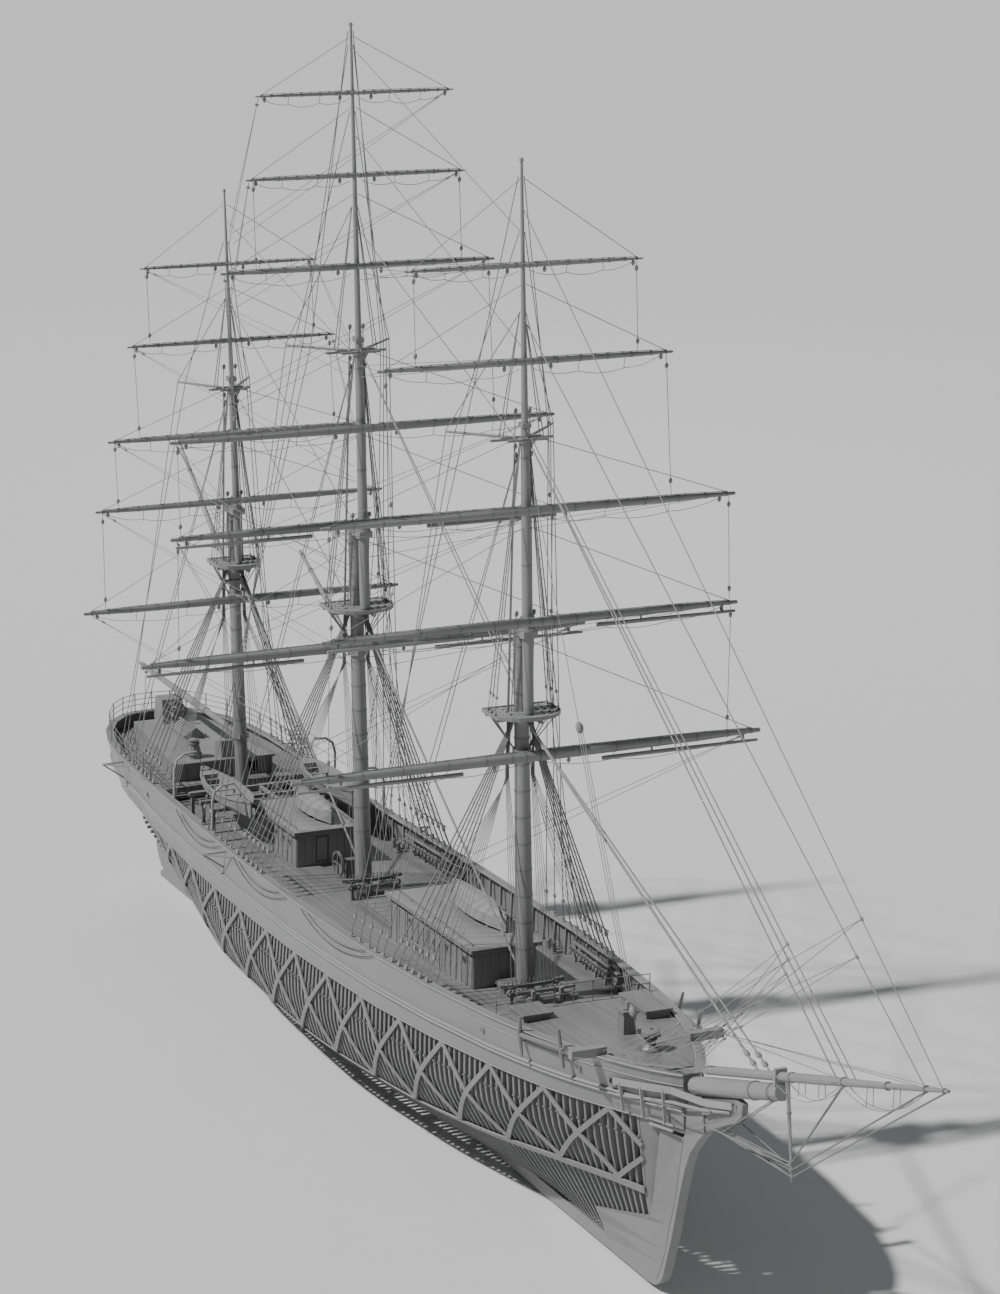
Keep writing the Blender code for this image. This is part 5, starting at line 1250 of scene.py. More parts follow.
def make_masts() -> tuple[MastPlan, MastPlan, MastPlan]:
    """The three masts from fore to mizzen."""
    fore = MastPlan(
        name="fore", x=15.08, rake=4.54, offset=0.77, top_z=15.41, cap_z=19.25,
        cross_z=28.15, head_z=28.95, truck_z=40.84,
        radii=(0.43, 0.34, 0.25, 0.19, 0.16, 0.06), top_half=1.65,
        shroud_feet=(14.6, 13.9, 13.2, 12.5, 11.8, 11.1),
        backstay_feet=(10.2, 9.4, 8.6, 7.6, 6.6),
        yards=(
            YardPlan("course", 13.59, 23.7, 1.05, 0.26, 18.9, (-2.2, 5.3, 2.9), True),
            YardPlan("lower_topsail", 19.95, 20.8, 0.74, 0.21, 24.2, (-4.6, 0.4, 13.2), True),
            YardPlan("upper_topsail", 25.07, 20.6, 0.74, 0.20, 28.4, (-4.6, 0.4, 19.0)),
            YardPlan("topgallant", 31.77, 14.55, 0.37, 0.15, 35.2, (-4.5, 0.25, 28.2)),
            YardPlan("royal", 36.10, 11.6, 0.32, 0.11, 39.9, (-5.0, 0.2, 33.0))),
        stays=(
            (15.2, (38.4, 0.0, 6.46), 0.045), (28.3, (44.0, -0.12, 8.12), 0.035),
            (28.3, (44.46, 0.12, 8.26), 0.035), (28.7, (45.3, 0.0, 8.53), 0.03),
            (33.6, (50.36, 0.0, 10.12), 0.028), (38.6, (51.6, 0.0, 10.52), 0.025)))
    main = MastPlan(
        name="main", x=-4.06, rake=5.11, offset=1.09, top_z=15.75, cap_z=19.65,
        cross_z=28.70, head_z=29.45, truck_z=44.79,
        radii=(0.43, 0.34, 0.26, 0.19, 0.16, 0.06), top_half=1.70,
        shroud_feet=(-4.9, -5.6, -6.3, -7.0, -7.7, -8.4),
        backstay_feet=(-9.4, -10.2, -11.0, -12.0, -13.0, -14.0),
        yards=(
            YardPlan("course", 14.12, 24.0, 1.42, 0.27, 19.3, (-23.4, 4.9, 2.6), True),
            YardPlan("lower_topsail", 20.35, 20.8, 0.74, 0.21, 24.6, (-21.4, 0.35, 10.4), True),
            YardPlan("upper_topsail", 25.07, 20.5, 0.72, 0.20, 28.9, (-21.5, 0.35, 15.6)),
            YardPlan("topgallant", 33.01, 14.45, 0.37, 0.15, 36.5, (-21.9, 0.2, 23.6)),
            YardPlan("royal", 37.44, 11.5, 0.32, 0.11, 40.7, (-22.4, 0.15, 28.6)),
            YardPlan("skysail", 41.44, 10.3, 0.38, 0.09, 44.1, (-22.7, 0.1, 32.0))),
        stays=(
            (28.9, (15.0, 0.0, 15.7), 0.032), (28.9, (15.3, 0.0, 14.9), 0.032),
            (34.9, (14.0, 0.0, 27.6), 0.026), (39.4, (13.6, 0.0, 32.2), 0.024),
            (43.6, (13.2, 0.0, 37.4), 0.022)))
    mizzen = MastPlan(
        name="mizzen", x=-20.86, rake=6.33, offset=0.73, top_z=14.09, cap_z=17.05,
        cross_z=23.55, head_z=24.25, truck_z=34.21,
        radii=(0.36, 0.29, 0.20, 0.16, 0.13, 0.05), top_half=1.25,
        shroud_feet=(-21.9, -22.6, -23.3, -24.0, -24.7),
        backstay_feet=(-25.6, -26.3, -27.0, -27.8),
        yards=(
            YardPlan("course", 12.37, 18.0, 1.30, 0.20, 16.7, (-5.0, 0.4, 8.0)),
            YardPlan("lower_topsail", 17.75, 16.3, 0.75, 0.16, 20.6, (-5.0, 0.4, 13.4)),
            YardPlan("upper_topsail", 21.35, 14.5, 0.62, 0.15, 23.7, (-5.0, 0.4, 17.6)),
            YardPlan("topgallant", 26.23, 11.7, 0.35, 0.11, 29.0, (-5.0, 0.3, 23.0)),
            YardPlan("royal", 30.29, 9.9, 0.31, 0.09, 33.4, (-5.4, 0.2, 28.0))),
        stays=(
            (23.7, (-4.4, 0.0, 14.9), 0.028), (28.2, (-4.3, 0.0, 19.3), 0.024),
            (32.6, (-5.2, 0.0, 28.3), 0.022)))
    return fore, main, mizzen


@dataclass
class Rigging:
    """Ropes, fine lines and deadeyes gathered for one set of shrouds or backstays."""

    heavy: list[Line] = field(default_factory=list)
    fine: list[Line] = field(default_factory=list)
    eyes: list[Facing] = field(default_factory=list)

    def set_up(self, foot: Vector, toward: Vector, gap: float, spreads: Sequence[float]) -> Vector:
        """Add two deadeyes with the lanyards between them.

        Args:
            foot: The lower deadeye.
            toward: A point that the rope above them runs to.
            gap: Distance between the deadeyes.
            spreads: Places of the lanyards along the ship.

        Returns:
            The upper deadeye.
        """
        side = math.copysign(1.0, foot.y)
        upper = foot + (toward - foot).normalized() * gap
        self.eyes += [(foot, (0.0, side, 0.1)), (upper, (0.0, side, 0.1))]
        self.fine += [[foot + FORWARD * s, upper + FORWARD * s] for s in spreads]
        return upper

    def cross(self, shrouds: Sequence[tuple[Vector, Vector]], count: int, reach: float) -> None:
        """Add ratlines across shrouds up to a share of their length."""
        for k in range(1, count):
            self.fine.append([a.lerp(b, k / count * reach) for a, b in shrouds])


@dataclass
class MastDress:
    """Iron bands, tops, crosstrees, shrouds, ratlines and stays of one mast."""

    plan: MastPlan
    loom: Loom
    ratline_pitch: float = 0.42

    def bands(self) -> None:
        """Hoops round the lower mast and its head."""
        plan = self.plan
        sketch = Sketch()
        z = 4.2
        while z < plan.top_z - 1.0:
            radius = plan.radius(z, True)
            sketch.ring((plan.lower(z), 0.0, z), plan.axis(), radius - 0.01, radius + 0.022, 0.10)
            z += 1.25
        for z in (plan.top_z + 0.9, plan.cap_z - 0.7):
            radius = plan.radii[1]
            sketch.ring((plan.lower(z), 0.0, z), plan.axis(), radius * 0.85, radius + 0.03, 0.12)
        for z in shares(4, plan.cap_z + 0.7, plan.cross_z - 0.8):
            radius = plan.radius(z, False)
            sketch.ring((plan.upper(z), 0.0, z), plan.axis(), radius - 0.01, radius + 0.02, 0.09)
        sketch.piece(f"{plan.name}_mast_bands", GREY.iron)

    def top(self) -> None:
        """The top: battens, rim, trestle trees and the cap's rim."""
        plan = self.plan
        half = plan.top_half
        z = plan.top_z
        x = plan.lower(z)
        sketch = Sketch()
        for k in range(9):
            y = -half * 0.92 + half * 1.84 * k / 8
            reach = 0.35 + 1.25 * math.sqrt(max(1 - (y / (half * 1.06)) ** 2, 0.02))
            if abs(y) > plan.radii[1] + 0.05:
                sketch.box((x - 0.72, y - 0.05, z + 0.08), (x + reach - 0.06, y + 0.05, z + 0.115))
        rim = [(x - 0.75, -half, z + 0.06)]
        for k in range(13):
            angle = math.radians(-78 + 13 * k)
            rim.append((x + 0.35 + 1.27 * math.cos(angle), half * 1.04 * math.sin(angle), z + 0.06))
        rim += [(x - 0.75, half, z + 0.06), (x - 0.75, -half, z + 0.06)]
        sketch.rail(rim, 0.07, 0.17)
        for side in SIDES:
            y = side * (plan.radii[1] + 0.12)
            sketch.beam((x - 0.8, y, z - 0.19), (x + 1.25, y, z - 0.19), 0.14, 0.24)
        for step in (-0.55, 0.62):
            sketch.beam((x + step, -half * 0.95, z - 0.13), (x + step, half * 0.95, z - 0.13), 0.13, 0.13)
        cap = (plan.upper(plan.cap_z), 0.0, plan.cap_z + 0.01)
        sketch.ring(cap, plan.axis(), plan.radii[2] + 0.02, plan.radii[2] + 0.13, 0.42)
        sketch.piece(f"{plan.name}_top", GREY.mast)

    def crosstrees(self) -> None:
        """The topmast's trees and the spreaders that sweep aft from them."""
        plan = self.plan
        z = plan.cross_z
        x = plan.upper(z)
        half = plan.top_half
        sketch = Sketch()
        for step in (-0.42, 0.30):
            sketch.beam((x + step, -half * 0.62, z + 0.06), (x + step, half * 0.62, z + 0.06), 0.11, 0.11)
        for side in SIDES:
            tip = (x - 2.7, side * half * 1.65, z + 0.05)
            sketch.tube([(x - 0.3, side * 0.3, z + 0.06), tip], [0.085, 0.055], 8)
        sketch.piece(f"{plan.name}_crosstrees", GREY.mast)

    def spreader_tip(self, side: int) -> Vector:
        """End of a spreader."""
        plan = self.plan
        return Vector((plan.upper(plan.cross_z) - 2.7, side * plan.top_half * 1.65, plan.cross_z + 0.05))

    def shroud_head(self, side: int, index: int) -> Vector:
        """Where a lower shroud meets the masthead."""
        plan = self.plan
        z = plan.top_z - 0.24 - 0.03 * index
        return Vector((plan.lower(z) + 0.12 - 0.05 * index, side * (plan.radii[1] + 0.05), z))

    def foot(self, x: float, side: int) -> Vector:
        """Place of a lower deadeye on the rail."""
        return HULL.by(x, side, 0.0, -0.14, 0.16)

    def shrouds(self) -> None:
        """Lower shrouds with their deadeyes, lanyards, sheer pole and ratlines."""
        plan = self.plan
        rig = Rigging()
        poles: list[Line] = []
        for side in SIDES:
            lines = []
            for i, x in enumerate(plan.shroud_feet):
                foot = self.foot(x, side)
                head = self.shroud_head(side, i)
                upper = rig.set_up(foot, head, 1.05, (-0.07, 0.0, 0.07))
                rig.heavy.append([upper + (head - foot).normalized() * 0.08, head])
                lines.append((upper, head))
            poles.append([lines[0][0] + Vector((0.25, 0, 0.2)), lines[-1][0] + Vector((-0.25, 0, 0.2))])
            length = (lines[0][1] - lines[0][0]).length
            rig.cross(lines, int((length - 1.2) / self.ratline_pitch), 0.93)
        self.loom.lay(f"{plan.name}_shrouds", rig.heavy, 0.036, GREY.rope)
        self.loom.lay(f"{plan.name}_ratlines", rig.fine, 0.014, GREY.rope, sides=4)
        self.loom.lay(f"{plan.name}_sheer_poles", poles, 0.035, GREY.iron)
        self.loom.stud(f"{plan.name}_deadeyes", rig.eyes, 0.125, 0.10, GREY.mast, sides=10)

    def topmast_rigging(self) -> None:
        """Futtock, topmast and topgallant shrouds with their ratlines."""
        plan = self.plan
        rig = Rigging()
        top_x = plan.lower(plan.top_z)
        cross_x = plan.upper(plan.cross_z)
        for side in SIDES:
            lines = []
            for i, step in enumerate((0.55, 0.05, -0.4)):
                y = side * plan.top_half * (0.97 - 0.03 * i)
                foot = Vector((top_x + step, y, plan.top_z + 0.2))
                head = Vector((cross_x - 0.06 * i, side * (plan.radii[3] + 0.04), plan.cross_z - 0.15))
                upper = rig.set_up(foot, head, 0.75, (-0.05, 0.05))
                rig.heavy.append([upper, head])
                futtock_z = plan.top_z - 1.75
                waist = Vector((plan.lower(futtock_z) - 0.04 * i, side * (plan.radii[1] + 0.03), futtock_z))
                rig.heavy.append([Vector((foot.x, foot.y, plan.top_z - 0.05)), waist])
                lines.append((upper, head))
            rig.cross(lines, int((plan.cross_z - plan.top_z - 2.2) / self.ratline_pitch), 0.95)
            pole_z = plan.head_z + (plan.truck_z - plan.head_z) * 0.42
            for step in (-0.20, -0.62):
                rig.heavy.append([(cross_x + step, side * plan.top_half * 0.62, plan.cross_z + 0.1),
                                  (plan.upper(pole_z) - 0.14, side * 0.12, pole_z)])
        sketch = Sketch()
        z = plan.top_z - 1.75
        sketch.ring((plan.lower(z), 0.0, z), plan.axis(), plan.radii[1] - 0.01, plan.radii[1] + 0.06, 0.16)
        sketch.piece(f"{plan.name}_futtock_band", GREY.iron)
        self.loom.lay(f"{plan.name}_topmast_shrouds", rig.heavy, 0.027, GREY.rope)
        self.loom.lay(f"{plan.name}_topmast_ratlines", rig.fine, 0.012, GREY.rope, sides=4)
        self.loom.stud(f"{plan.name}_top_deadeyes", rig.eyes, 0.09, 0.08, GREY.mast, sides=8)

    def backstays(self) -> None:
        """Backstays from the rail to the topmast, pole and truck."""
        plan = self.plan
        rig = Rigging()
        rise = plan.truck_z - plan.head_z
        heads = [plan.cross_z, plan.cross_z, plan.head_z + rise * 0.42, plan.head_z + rise * 0.72,
                 plan.head_z + rise * 0.93, plan.truck_z - 0.4]
        for side, (i, x) in product(SIDES, enumerate(plan.backstay_feet)):
            foot = self.foot(x, side)
            z = heads[i]
            head = Vector((plan.upper(z) - 0.05, side * 0.14, z))
            line = [foot]
            if i >= 2:
                tip = self.spreader_tip(side)
                line.append(Vector((tip.x + 0.35 * (i - 2), tip.y - side * 0.3 * (i - 2), tip.z + 0.06)))
            line.append(head)
            rig.heavy.append([rig.set_up(foot, line[1], 0.95, (-0.05, 0.05)), *line[1:]])
        self.loom.lay(f"{plan.name}_backstays", rig.heavy, 0.024, GREY.rope)
        self.loom.lay(f"{plan.name}_backstay_lanyards", rig.fine, 0.014, GREY.rope, sides=4)
        self.loom.stud(f"{plan.name}_backstay_deadeyes", rig.eyes, 0.10, 0.09, GREY.mast, sides=8)

    def stays(self) -> None:
        """Stays that run forward from the mast."""
        plan = self.plan
        for i, (z, foot, radius) in enumerate(plan.stays):
            reach = plan.radius(z, z < plan.cap_z)
            x = (plan.lower(z) if z < plan.cap_z else plan.upper(z)) + reach
            self.loom.lay(f"{plan.name}_stay_{i + 1}", [[(x, 0.0, z), foot]], radius, GREY.line)

    def main_stay(self) -> None:
        """The lower stay with the shrouds' collar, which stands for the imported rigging."""
        plan = self.plan
        z = plan.top_z - 0.24
        sketch = Sketch()
        head = (plan.lower(z) + plan.radii[1] + 0.06, 0.0, z)
        sketch.tube([head, STAY_FEET[plan.name]], [0.058, 0.058], 8)
        inner = plan.radii[1] + 0.005
        sketch.ring((plan.lower(z), 0.0, z), plan.axis(), inner, inner + 0.125, 0.26, 14)
        piece = sketch.piece(f"{plan.name}_main_stay", GREY.line)
        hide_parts(f"{plan.name}_shrouds_and_stay")

    def build(self) -> None:
        """Build the mast's dress."""
        self.bands()
        self.top()
        self.crosstrees()
        self.shrouds()
        self.topmast_rigging()
        self.backstays()
        self.stays()
        self.main_stay()


@dataclass
class YardDress:
    """Bands, footropes, lifts, braces and booms of one yard."""

    mast: MastPlan
    plan: YardPlan
    loom: Loom

    @property
    def body(self) -> str:
        """Name of the yard's body."""
        return f"{self.mast.name}_{self.plan.label}"

    def thickness(self, share: float) -> float:
        """Radius of the yard at a share of its half length."""
        return self.plan.radius * float(np.interp(abs(share), *zip(*YARD_TAPER)))

    def spot(self, share: float, forward: float = 0.0, up: float = 0.0) -> Vector:
        """A point by the yard at a share of its half length."""
        x = self.mast.yard_x(self.plan)
        return Vector((x + forward, share * self.plan.length / 2, self.plan.z + up))

    def bands(self) -> None:
        """Hoops, yardarm irons and the jackstay with its eyes."""
        sketch = Sketch()
        marks = [0.03, 0.09, 0.2, 0.36, 0.55, 0.72, 0.86, 0.965]
        for share, side in product(marks, SIDES):
            radius = self.thickness(share)
            sketch.ring(self.spot(share * side), (0, 1, 0), radius * 0.8, radius + 0.018, 0.09, 10)
        tip = self.thickness(1.0)
        for side in SIDES:
            centre = self.spot(side)
            profile = ((tip * 0.95, -0.02), (tip * 1.1, 0.05), (tip * 0.5, 0.12))
            sketch.turned(centre, (0, side, 0), profile, 8)
        name = f"{self.body}_bands"
        sketch.piece(name, GREY.iron, self.body)
        rods = [[self.spot(s, 0.04, self.thickness(s) + 0.045) for s in shares(9, 0.06 * side, 0.97 * side)]
                for side in SIDES]
        self.loom.lay(f"{self.body}_jackstay", rods, 0.018, GREY.iron, self.body, sides=4)
        eyes = []
        for side in SIDES:
            for s in shares(10, 0.08 * side, 0.95 * side):
                eyes.append((self.spot(s, 0.04, self.thickness(s) + 0.01), UP))
        self.loom.stud(f"{self.body}_jackstay_eyes", eyes, 0.03, 0.12, GREY.iron, self.body, sides=5)

    def footropes(self) -> None:
        """Footropes on their stirrups, and the blocks under the yardarms."""
        lines = []
        drop = 0.62 if self.plan.length > 13 else 0.45
        for side in SIDES:
            marks = (0.05, 0.36, 0.68, 0.96)
            for a, b in pairwise(marks):
                start = self.spot(side * a, -0.12, -drop if a != marks[0] else -drop * 0.6)
                end = self.spot(side * b, -0.12, -drop if b != marks[-1] else -self.thickness(b))
                lines.append(sag(start, end, 0.16, 5))
            for s in marks[1:-1]:
                lines.append([self.spot(side * s, -0.05, 0.0), self.spot(side * s, -0.12, -drop)])
        self.loom.lay(f"{self.body}_footropes", lines, 0.016, GREY.line, self.body, sides=4)
        blocks = []
        for side, s in product(SIDES, (0.16, 0.93)):
            blocks.append((self.spot(side * s, 0.02, -self.thickness(s) - 0.12), UP))
        self.loom.block(f"{self.body}_blocks", blocks, 0.10, self.body)

    def lifts(self) -> None:
        """Lifts from the yardarms to the mast, which bend between yard and ship."""
        mast, plan = self.mast, self.plan
        x = mast.upper(plan.lift_z) + 0.1
        head = Vector((x, 0.0, plan.lift_z))
        paths = []
        for side in SIDES:
            start = self.spot(0.97 * side, 0.0, self.thickness(0.97))
            end = head + Vector((0.0, side * 0.12, 0.0))
            paths.append([start.lerp(end, s) for s in shares(9)])
        rope = self.loom.lay(f"{self.body}_lifts", paths, 0.018, GREY.line, FREE, sides=4)
        rope_blend(rope, self.body, Vector((x, 0.0, plan.z)), head)

    def braces(self) -> None:
        """Braces from the yardarms to the next mast or the rail, which bend between yard and ship."""
        lead = Vector(self.plan.brace)
        paths = []
        blocks = []
        for side in SIDES:
            start = self.spot(0.985 * side, -0.05)
            end = Vector((lead.x, side * lead.y, lead.z))
            pendant = start.lerp(end, 1.1 / (end - start).length)
            blocks.append((pendant, end - start))
            for split in (0.0, 0.10):
                foot = end + Vector((0.0, 0.0, -split * 6))
                paths.append([start.lerp(foot, s) for s in shares(11)])
        rope = self.loom.lay(f"{self.body}_braces", paths, 0.017, GREY.line, FREE, sides=4)
        x = self.mast.yard_x(self.plan)
        rope_blend(rope, self.body, FORWARD * x, Vector((lead.x, 0.0, 0.0)))
        self.loom.block(f"{self.body}_brace_blocks", blocks, 0.11, self.body)

    def booms(self) -> None:
        """Studding-sail booms slung under the yard's outer halves."""
        low = -self.plan.radius - 0.16
        sketch = Sketch()
        for side in SIDES:
            path = [self.spot(side * s, 0.18, low) for s in (0.30, 0.62, 0.99)]
            sketch.tube(path, [0.10, 0.10, 0.07], 10)
            for s in (0.52, 0.93):
                sketch.beam(self.spot(side * s), self.spot(side * s, 0.18, low), 0.07, 0.07)
        sketch.piece(f"{self.body}_booms", GREY.yard, self.body)

    def drops(self, lower: YardPlan) -> None:
        """Lines that hang from this yard's arms to those of the yard below it.

        Args:
            lower: The yard below.
        """
        end_x = self.mast.yard_x(lower)
        paths = []
        blocks = []
        for side in SIDES:
            reach = min(self.plan.length, lower.length) / 2 - 0.25
            start = self.spot(2 * side * reach / self.plan.length, 0.05, -0.1)
            end = Vector((end_x + 0.05, side * reach, lower.z + 0.2))
            paths.append([start, end])
            blocks += [(start.lerp(end, 0.08), UP), (start.lerp(end, 0.9), UP)]
        self.loom.lay(f"{self.body}_clew_lines", paths, 0.018, GREY.line, self.body, sides=4)
        self.loom.block(f"{self.body}_clew_blocks", blocks, 0.10, self.body)

    def build(self, lower: YardPlan | None) -> None:
        """Build the yard's dress.

        Args:
            lower: The yard below, if clew lines hang to it.
        """
        self.bands()
        self.footropes()
        self.lifts()
        self.braces()
        if self.plan.booms:
            self.booms()
        if lower:
            self.drops(lower)


def rope_blend(rope: bpy.types.Object, body: str, start: Vector, end: Vector) -> None:
    """Let a rope bend from a start where it follows its yard to an end where it follows the ship."""
    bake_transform(rope, body, "ship", start=tuple(start * SCALE), end=tuple(end * SCALE))


# Head, houses, boats and deck fittings

@dataclass
class HeadGear:
    """Head rails, bobstays, martingale stays, guys, footropes and sheets round the stem."""

    loom: Loom
    fore: MastPlan
    striker_top: Spot = (39.80, 0.0, 6.70)
    striker_tip: Spot = (40.47, 0.0, 2.62)
    boom_heel: Spot = (33.0, 0.0, 4.62)
    sprit_heel: Spot = (32.05, 0.0, 3.55)
    boom_irons: tuple[float, float, float] = (44.3, 50.36, 51.7)

    def boom(self, x: float, y: float = 0.0, up: float = 0.0) -> Vector:
        """A point by the jib boom's axis."""
        heel = self.boom_heel
        return Vector((x, y, heel[2] + (x - heel[0]) * BOOM_SLOPE.z / BOOM_SLOPE.x + up))

    def sprit(self, x: float, y: float = 0.0, up: float = 0.0) -> Vector:
        """A point by the bowsprit's axis."""
        heel = self.sprit_heel
        return Vector((x, y, heel[2] + (x - heel[0]) * SPRIT_SLOPE.z / SPRIT_SLOPE.x + up))

    def knot(self, share: float) -> Vector:
        """A point on the dolphin striker."""
        return Vector(self.striker_top).lerp(Vector(self.striker_tip), share)

    def rails(self) -> None:
        """Trailboards, lower rails, their brackets and the slats between them."""
        sketch = Sketch()
        for side in SIDES:
            upper = []
            lower = []
            for x in shares(9, 28.4, 31.2):
                upper.append(Vector((x, side * (HULL.side(x, 0.95) + 0.16), 2.78 + (x - 28.4) * 0.13)))
                lower.append(Vector((x, side * (HULL.side(x, 1.75) + 0.16), 2.10 + (x - 28.4) * 0.17)))
            upper += [Vector((33.6, side * 0.46, 3.42)), Vector((35.7, side * 0.24, 3.98))]
            lower += [Vector((33.4, side * 0.40, 3.00)), Vector((35.5, side * 0.20, 3.62))]
            sketch.rail(upper, 0.09, 0.30)
            sketch.tube(lower, [0.075] * len(lower), 8)
            for i in (1, 4, 7):
                x = upper[i].x
                y = side * (HULL.side(x, 1.6) + 0.10)
                sketch.beam(upper[i], (x, y, 1.45), 0.09, 0.14)
        for x in shares(9, 33.6, 35.4):
            half = 0.44 - (x - 33.6) * 0.11
            z = 3.33 + (x - 33.6) * 0.25
            sketch.box((x - 0.04, -half, z), (x + 0.04, half, z + 0.07))
        for side, z in product(SIDES, (1.45, 1.20)):
            y = HULL.side(30.6, 2.2) + 0.05
            sketch.beam((29.9, side * (y + 0.28), z), (31.35, side * (y - 0.12), z + 0.10), 0.07, 0.10)
        sketch.piece("head_rails", GREY.moulding, slot="hull_timber")
        hook = []
        for x in (30.35, 31.0, 31.55):
            half = max(HULL.side(x, 0.14) - 0.08, 0.06)
            z = HULL.rail(x) - 0.12
            hook.append([(x, -half, z), (x, half, z), (x, half, z - 0.14), (x, -half, z - 0.14)])
        sketch = Sketch()
        sketch.loft(hook)
        sketch.piece("breasthook", GREY.deck)

    def irons(self) -> None:
        """Bands on the spars, the hawse rims and the seams of the stem."""
        sketch = Sketch()
        for x, radius in ((37.2, 0.39), (38.75, 0.37)):
            sketch.ring(self.sprit(x), SPRIT_SLOPE, radius - 0.02, radius + 0.035, 0.13, 20)
        for x, radius in ((40.2, 0.20), (44.3, 0.18), (47.6, 0.15), (50.36, 0.115), (51.7, 0.08)):
            sketch.ring(self.boom(x), BOOM_SLOPE, radius - 0.02, radius + 0.035, 0.10, 14)
        for share in (0.35, 0.86, 0.93):
            sketch.ring(self.knot(share), (0.16, 0.0, -1.0), 0.04, 0.11, 0.09, 10)
        sketch.turned(self.knot(1.0), (0.16, 0.0, -1.0), ((0.05, -0.05), (0.07, 0.05), (0.02, 0.25)), 8)
        for side in SIDES:
            sketch.ring(HULL.by(28.2, side, 1.1, 0.03, -1.05), (0.5, side, 0.0), 0.16, 0.27, 0.12, 16)
        sketch.piece("head_irons", GREY.iron)
        lines = []
        for side in SIDES:
            y = side * 0.236
            lines.append([(29.75, y, -4.2), (30.55, y, -1.7), (31.05, y, 0.3), (31.35, y, 1.0)])
            lines.append([(26.0, y, -6.28), (29.0, y, -6.18), (29.3, y, -5.8), (30.1, y, -3.0)])
            lines += [[(27.2 + k * 0.42, y, -6.14), (27.7 + k * 0.40, y, -4.5 + k * 0.2)] for k in range(5)]
        self.loom.lay("stem_seams", lines, 0.010, GREY.dark, slot="hull_timber", sides=4)

    def rigging(self) -> None:
        """Chains and ropes of the bowsprit and the jib boom."""
        heavy = []
        fine = []
        inner, middle, _ = self.boom_irons
        for side in SIDES:
            heavy.append([(34.6, side * 0.17, 2.35), self.sprit(38.75, side * 0.10, -0.38)])
            for x, share in zip(self.boom_irons, (0.86, 0.93, 1.0)):
                heavy.append([self.boom(x, side * 0.05, -0.10), self.knot(share)])
                heavy.append([self.knot(share), (34.3, side * 0.19, 2.2 + share * 0.2)])
            bow = (30.4, side * (HULL.side(30.4, 0.8) + 0.22), 2.55)
            heavy.append([self.knot(0.90), bow])
            cathead = HULL.by(27.4, side, 0.0, 1.25, 0.05)
            for x in self.boom_irons:
                fine.append([self.boom(x, side * 0.12), cathead.lerp(self.boom(x, side * 0.12), 0.02)])
            fine.append(sag(self.boom(39.4, side * 0.30, -0.3), self.boom(inner, side * 0.15, -0.1), 0.75))
            fine.append(sag(self.boom(inner, side * 0.15, -0.1), self.boom(middle, side * 0.1, -0.1), 0.95))
            for x in (41.0, 42.6, 46.3, 48.3):
                low = 0.95 if x > inner else 0.75
                fine.append([self.boom(x, side * 0.14), self.boom(x, side * 0.16, -low)])
        self.loom.lay("head_chains", heavy, 0.030, GREY.rope)
        self.loom.lay("head_guys", fine, 0.018, GREY.line)

    def sheets(self) -> None:
        """Sheets of the head stays with their blocks, the lower stays' hearts and the stay tackle."""
        lines = []
        blocks = []
        for i, (z, foot, _) in enumerate(self.fore.stays[1:]):
            head = Vector((self.fore.upper(z), 0.0, z))
            clew = Vector(foot).lerp(head, 0.15 + 0.02 * (i % 3))
            blocks.append((clew, head - clew))
            x = 30.4 - 0.5 * i
            for side in SIDES:
                rail = HULL.by(x, side, 0.0, -0.10, 0.14)
                middle = clew.lerp(rail, 0.72) + UP * -0.12
                blocks.append((middle, rail - clew))
                lines += [[clew, middle], [middle, rail], [middle, rail + Vector((-0.8, side * 0.15, 0.0))]]
        head = Vector((self.fore.upper(27.4) + 0.35, 0.0, 27.4))
        foot = Vector((27.6, -0.5, HULL.rail(27.6) + 0.35))
        upper, lower = head.lerp(foot, 0.47), head.lerp(foot, 0.95)
        lines += [[head, upper], [lower, foot]]
        lines += [[upper + Vector((0.0, y, 0.0)), lower + Vector((0.0, y, 0.0))] for y in (-0.12, 0.0, 0.12)]
        self.loom.lay("head_sheets", lines, 0.018, GREY.line)
        self.loom.block("head_blocks", blocks, 0.09)
        tackle = [(upper, foot - head), (lower, foot - head)]
        self.loom.block("stay_tackle_blocks", tackle, 0.20)
        hearts = []
        for head_z, foot in ((self.fore.top_z, STAY_FEET["fore"]), self.fore.stays[0][:2]):
            run = Vector((self.fore.lower(head_z), 0.0, head_z)) - Vector(foot)
            for reach in (0.55, 1.15):
                hearts.append((Vector(foot) + run.normalized() * reach, run))
        self.loom.block("stay_hearts", hearts, 0.15)

    def build(self) -> None:
        """Build everything ahead of the stem."""
        self.rails()
        self.irons()
        self.rigging()
        self.sheets()


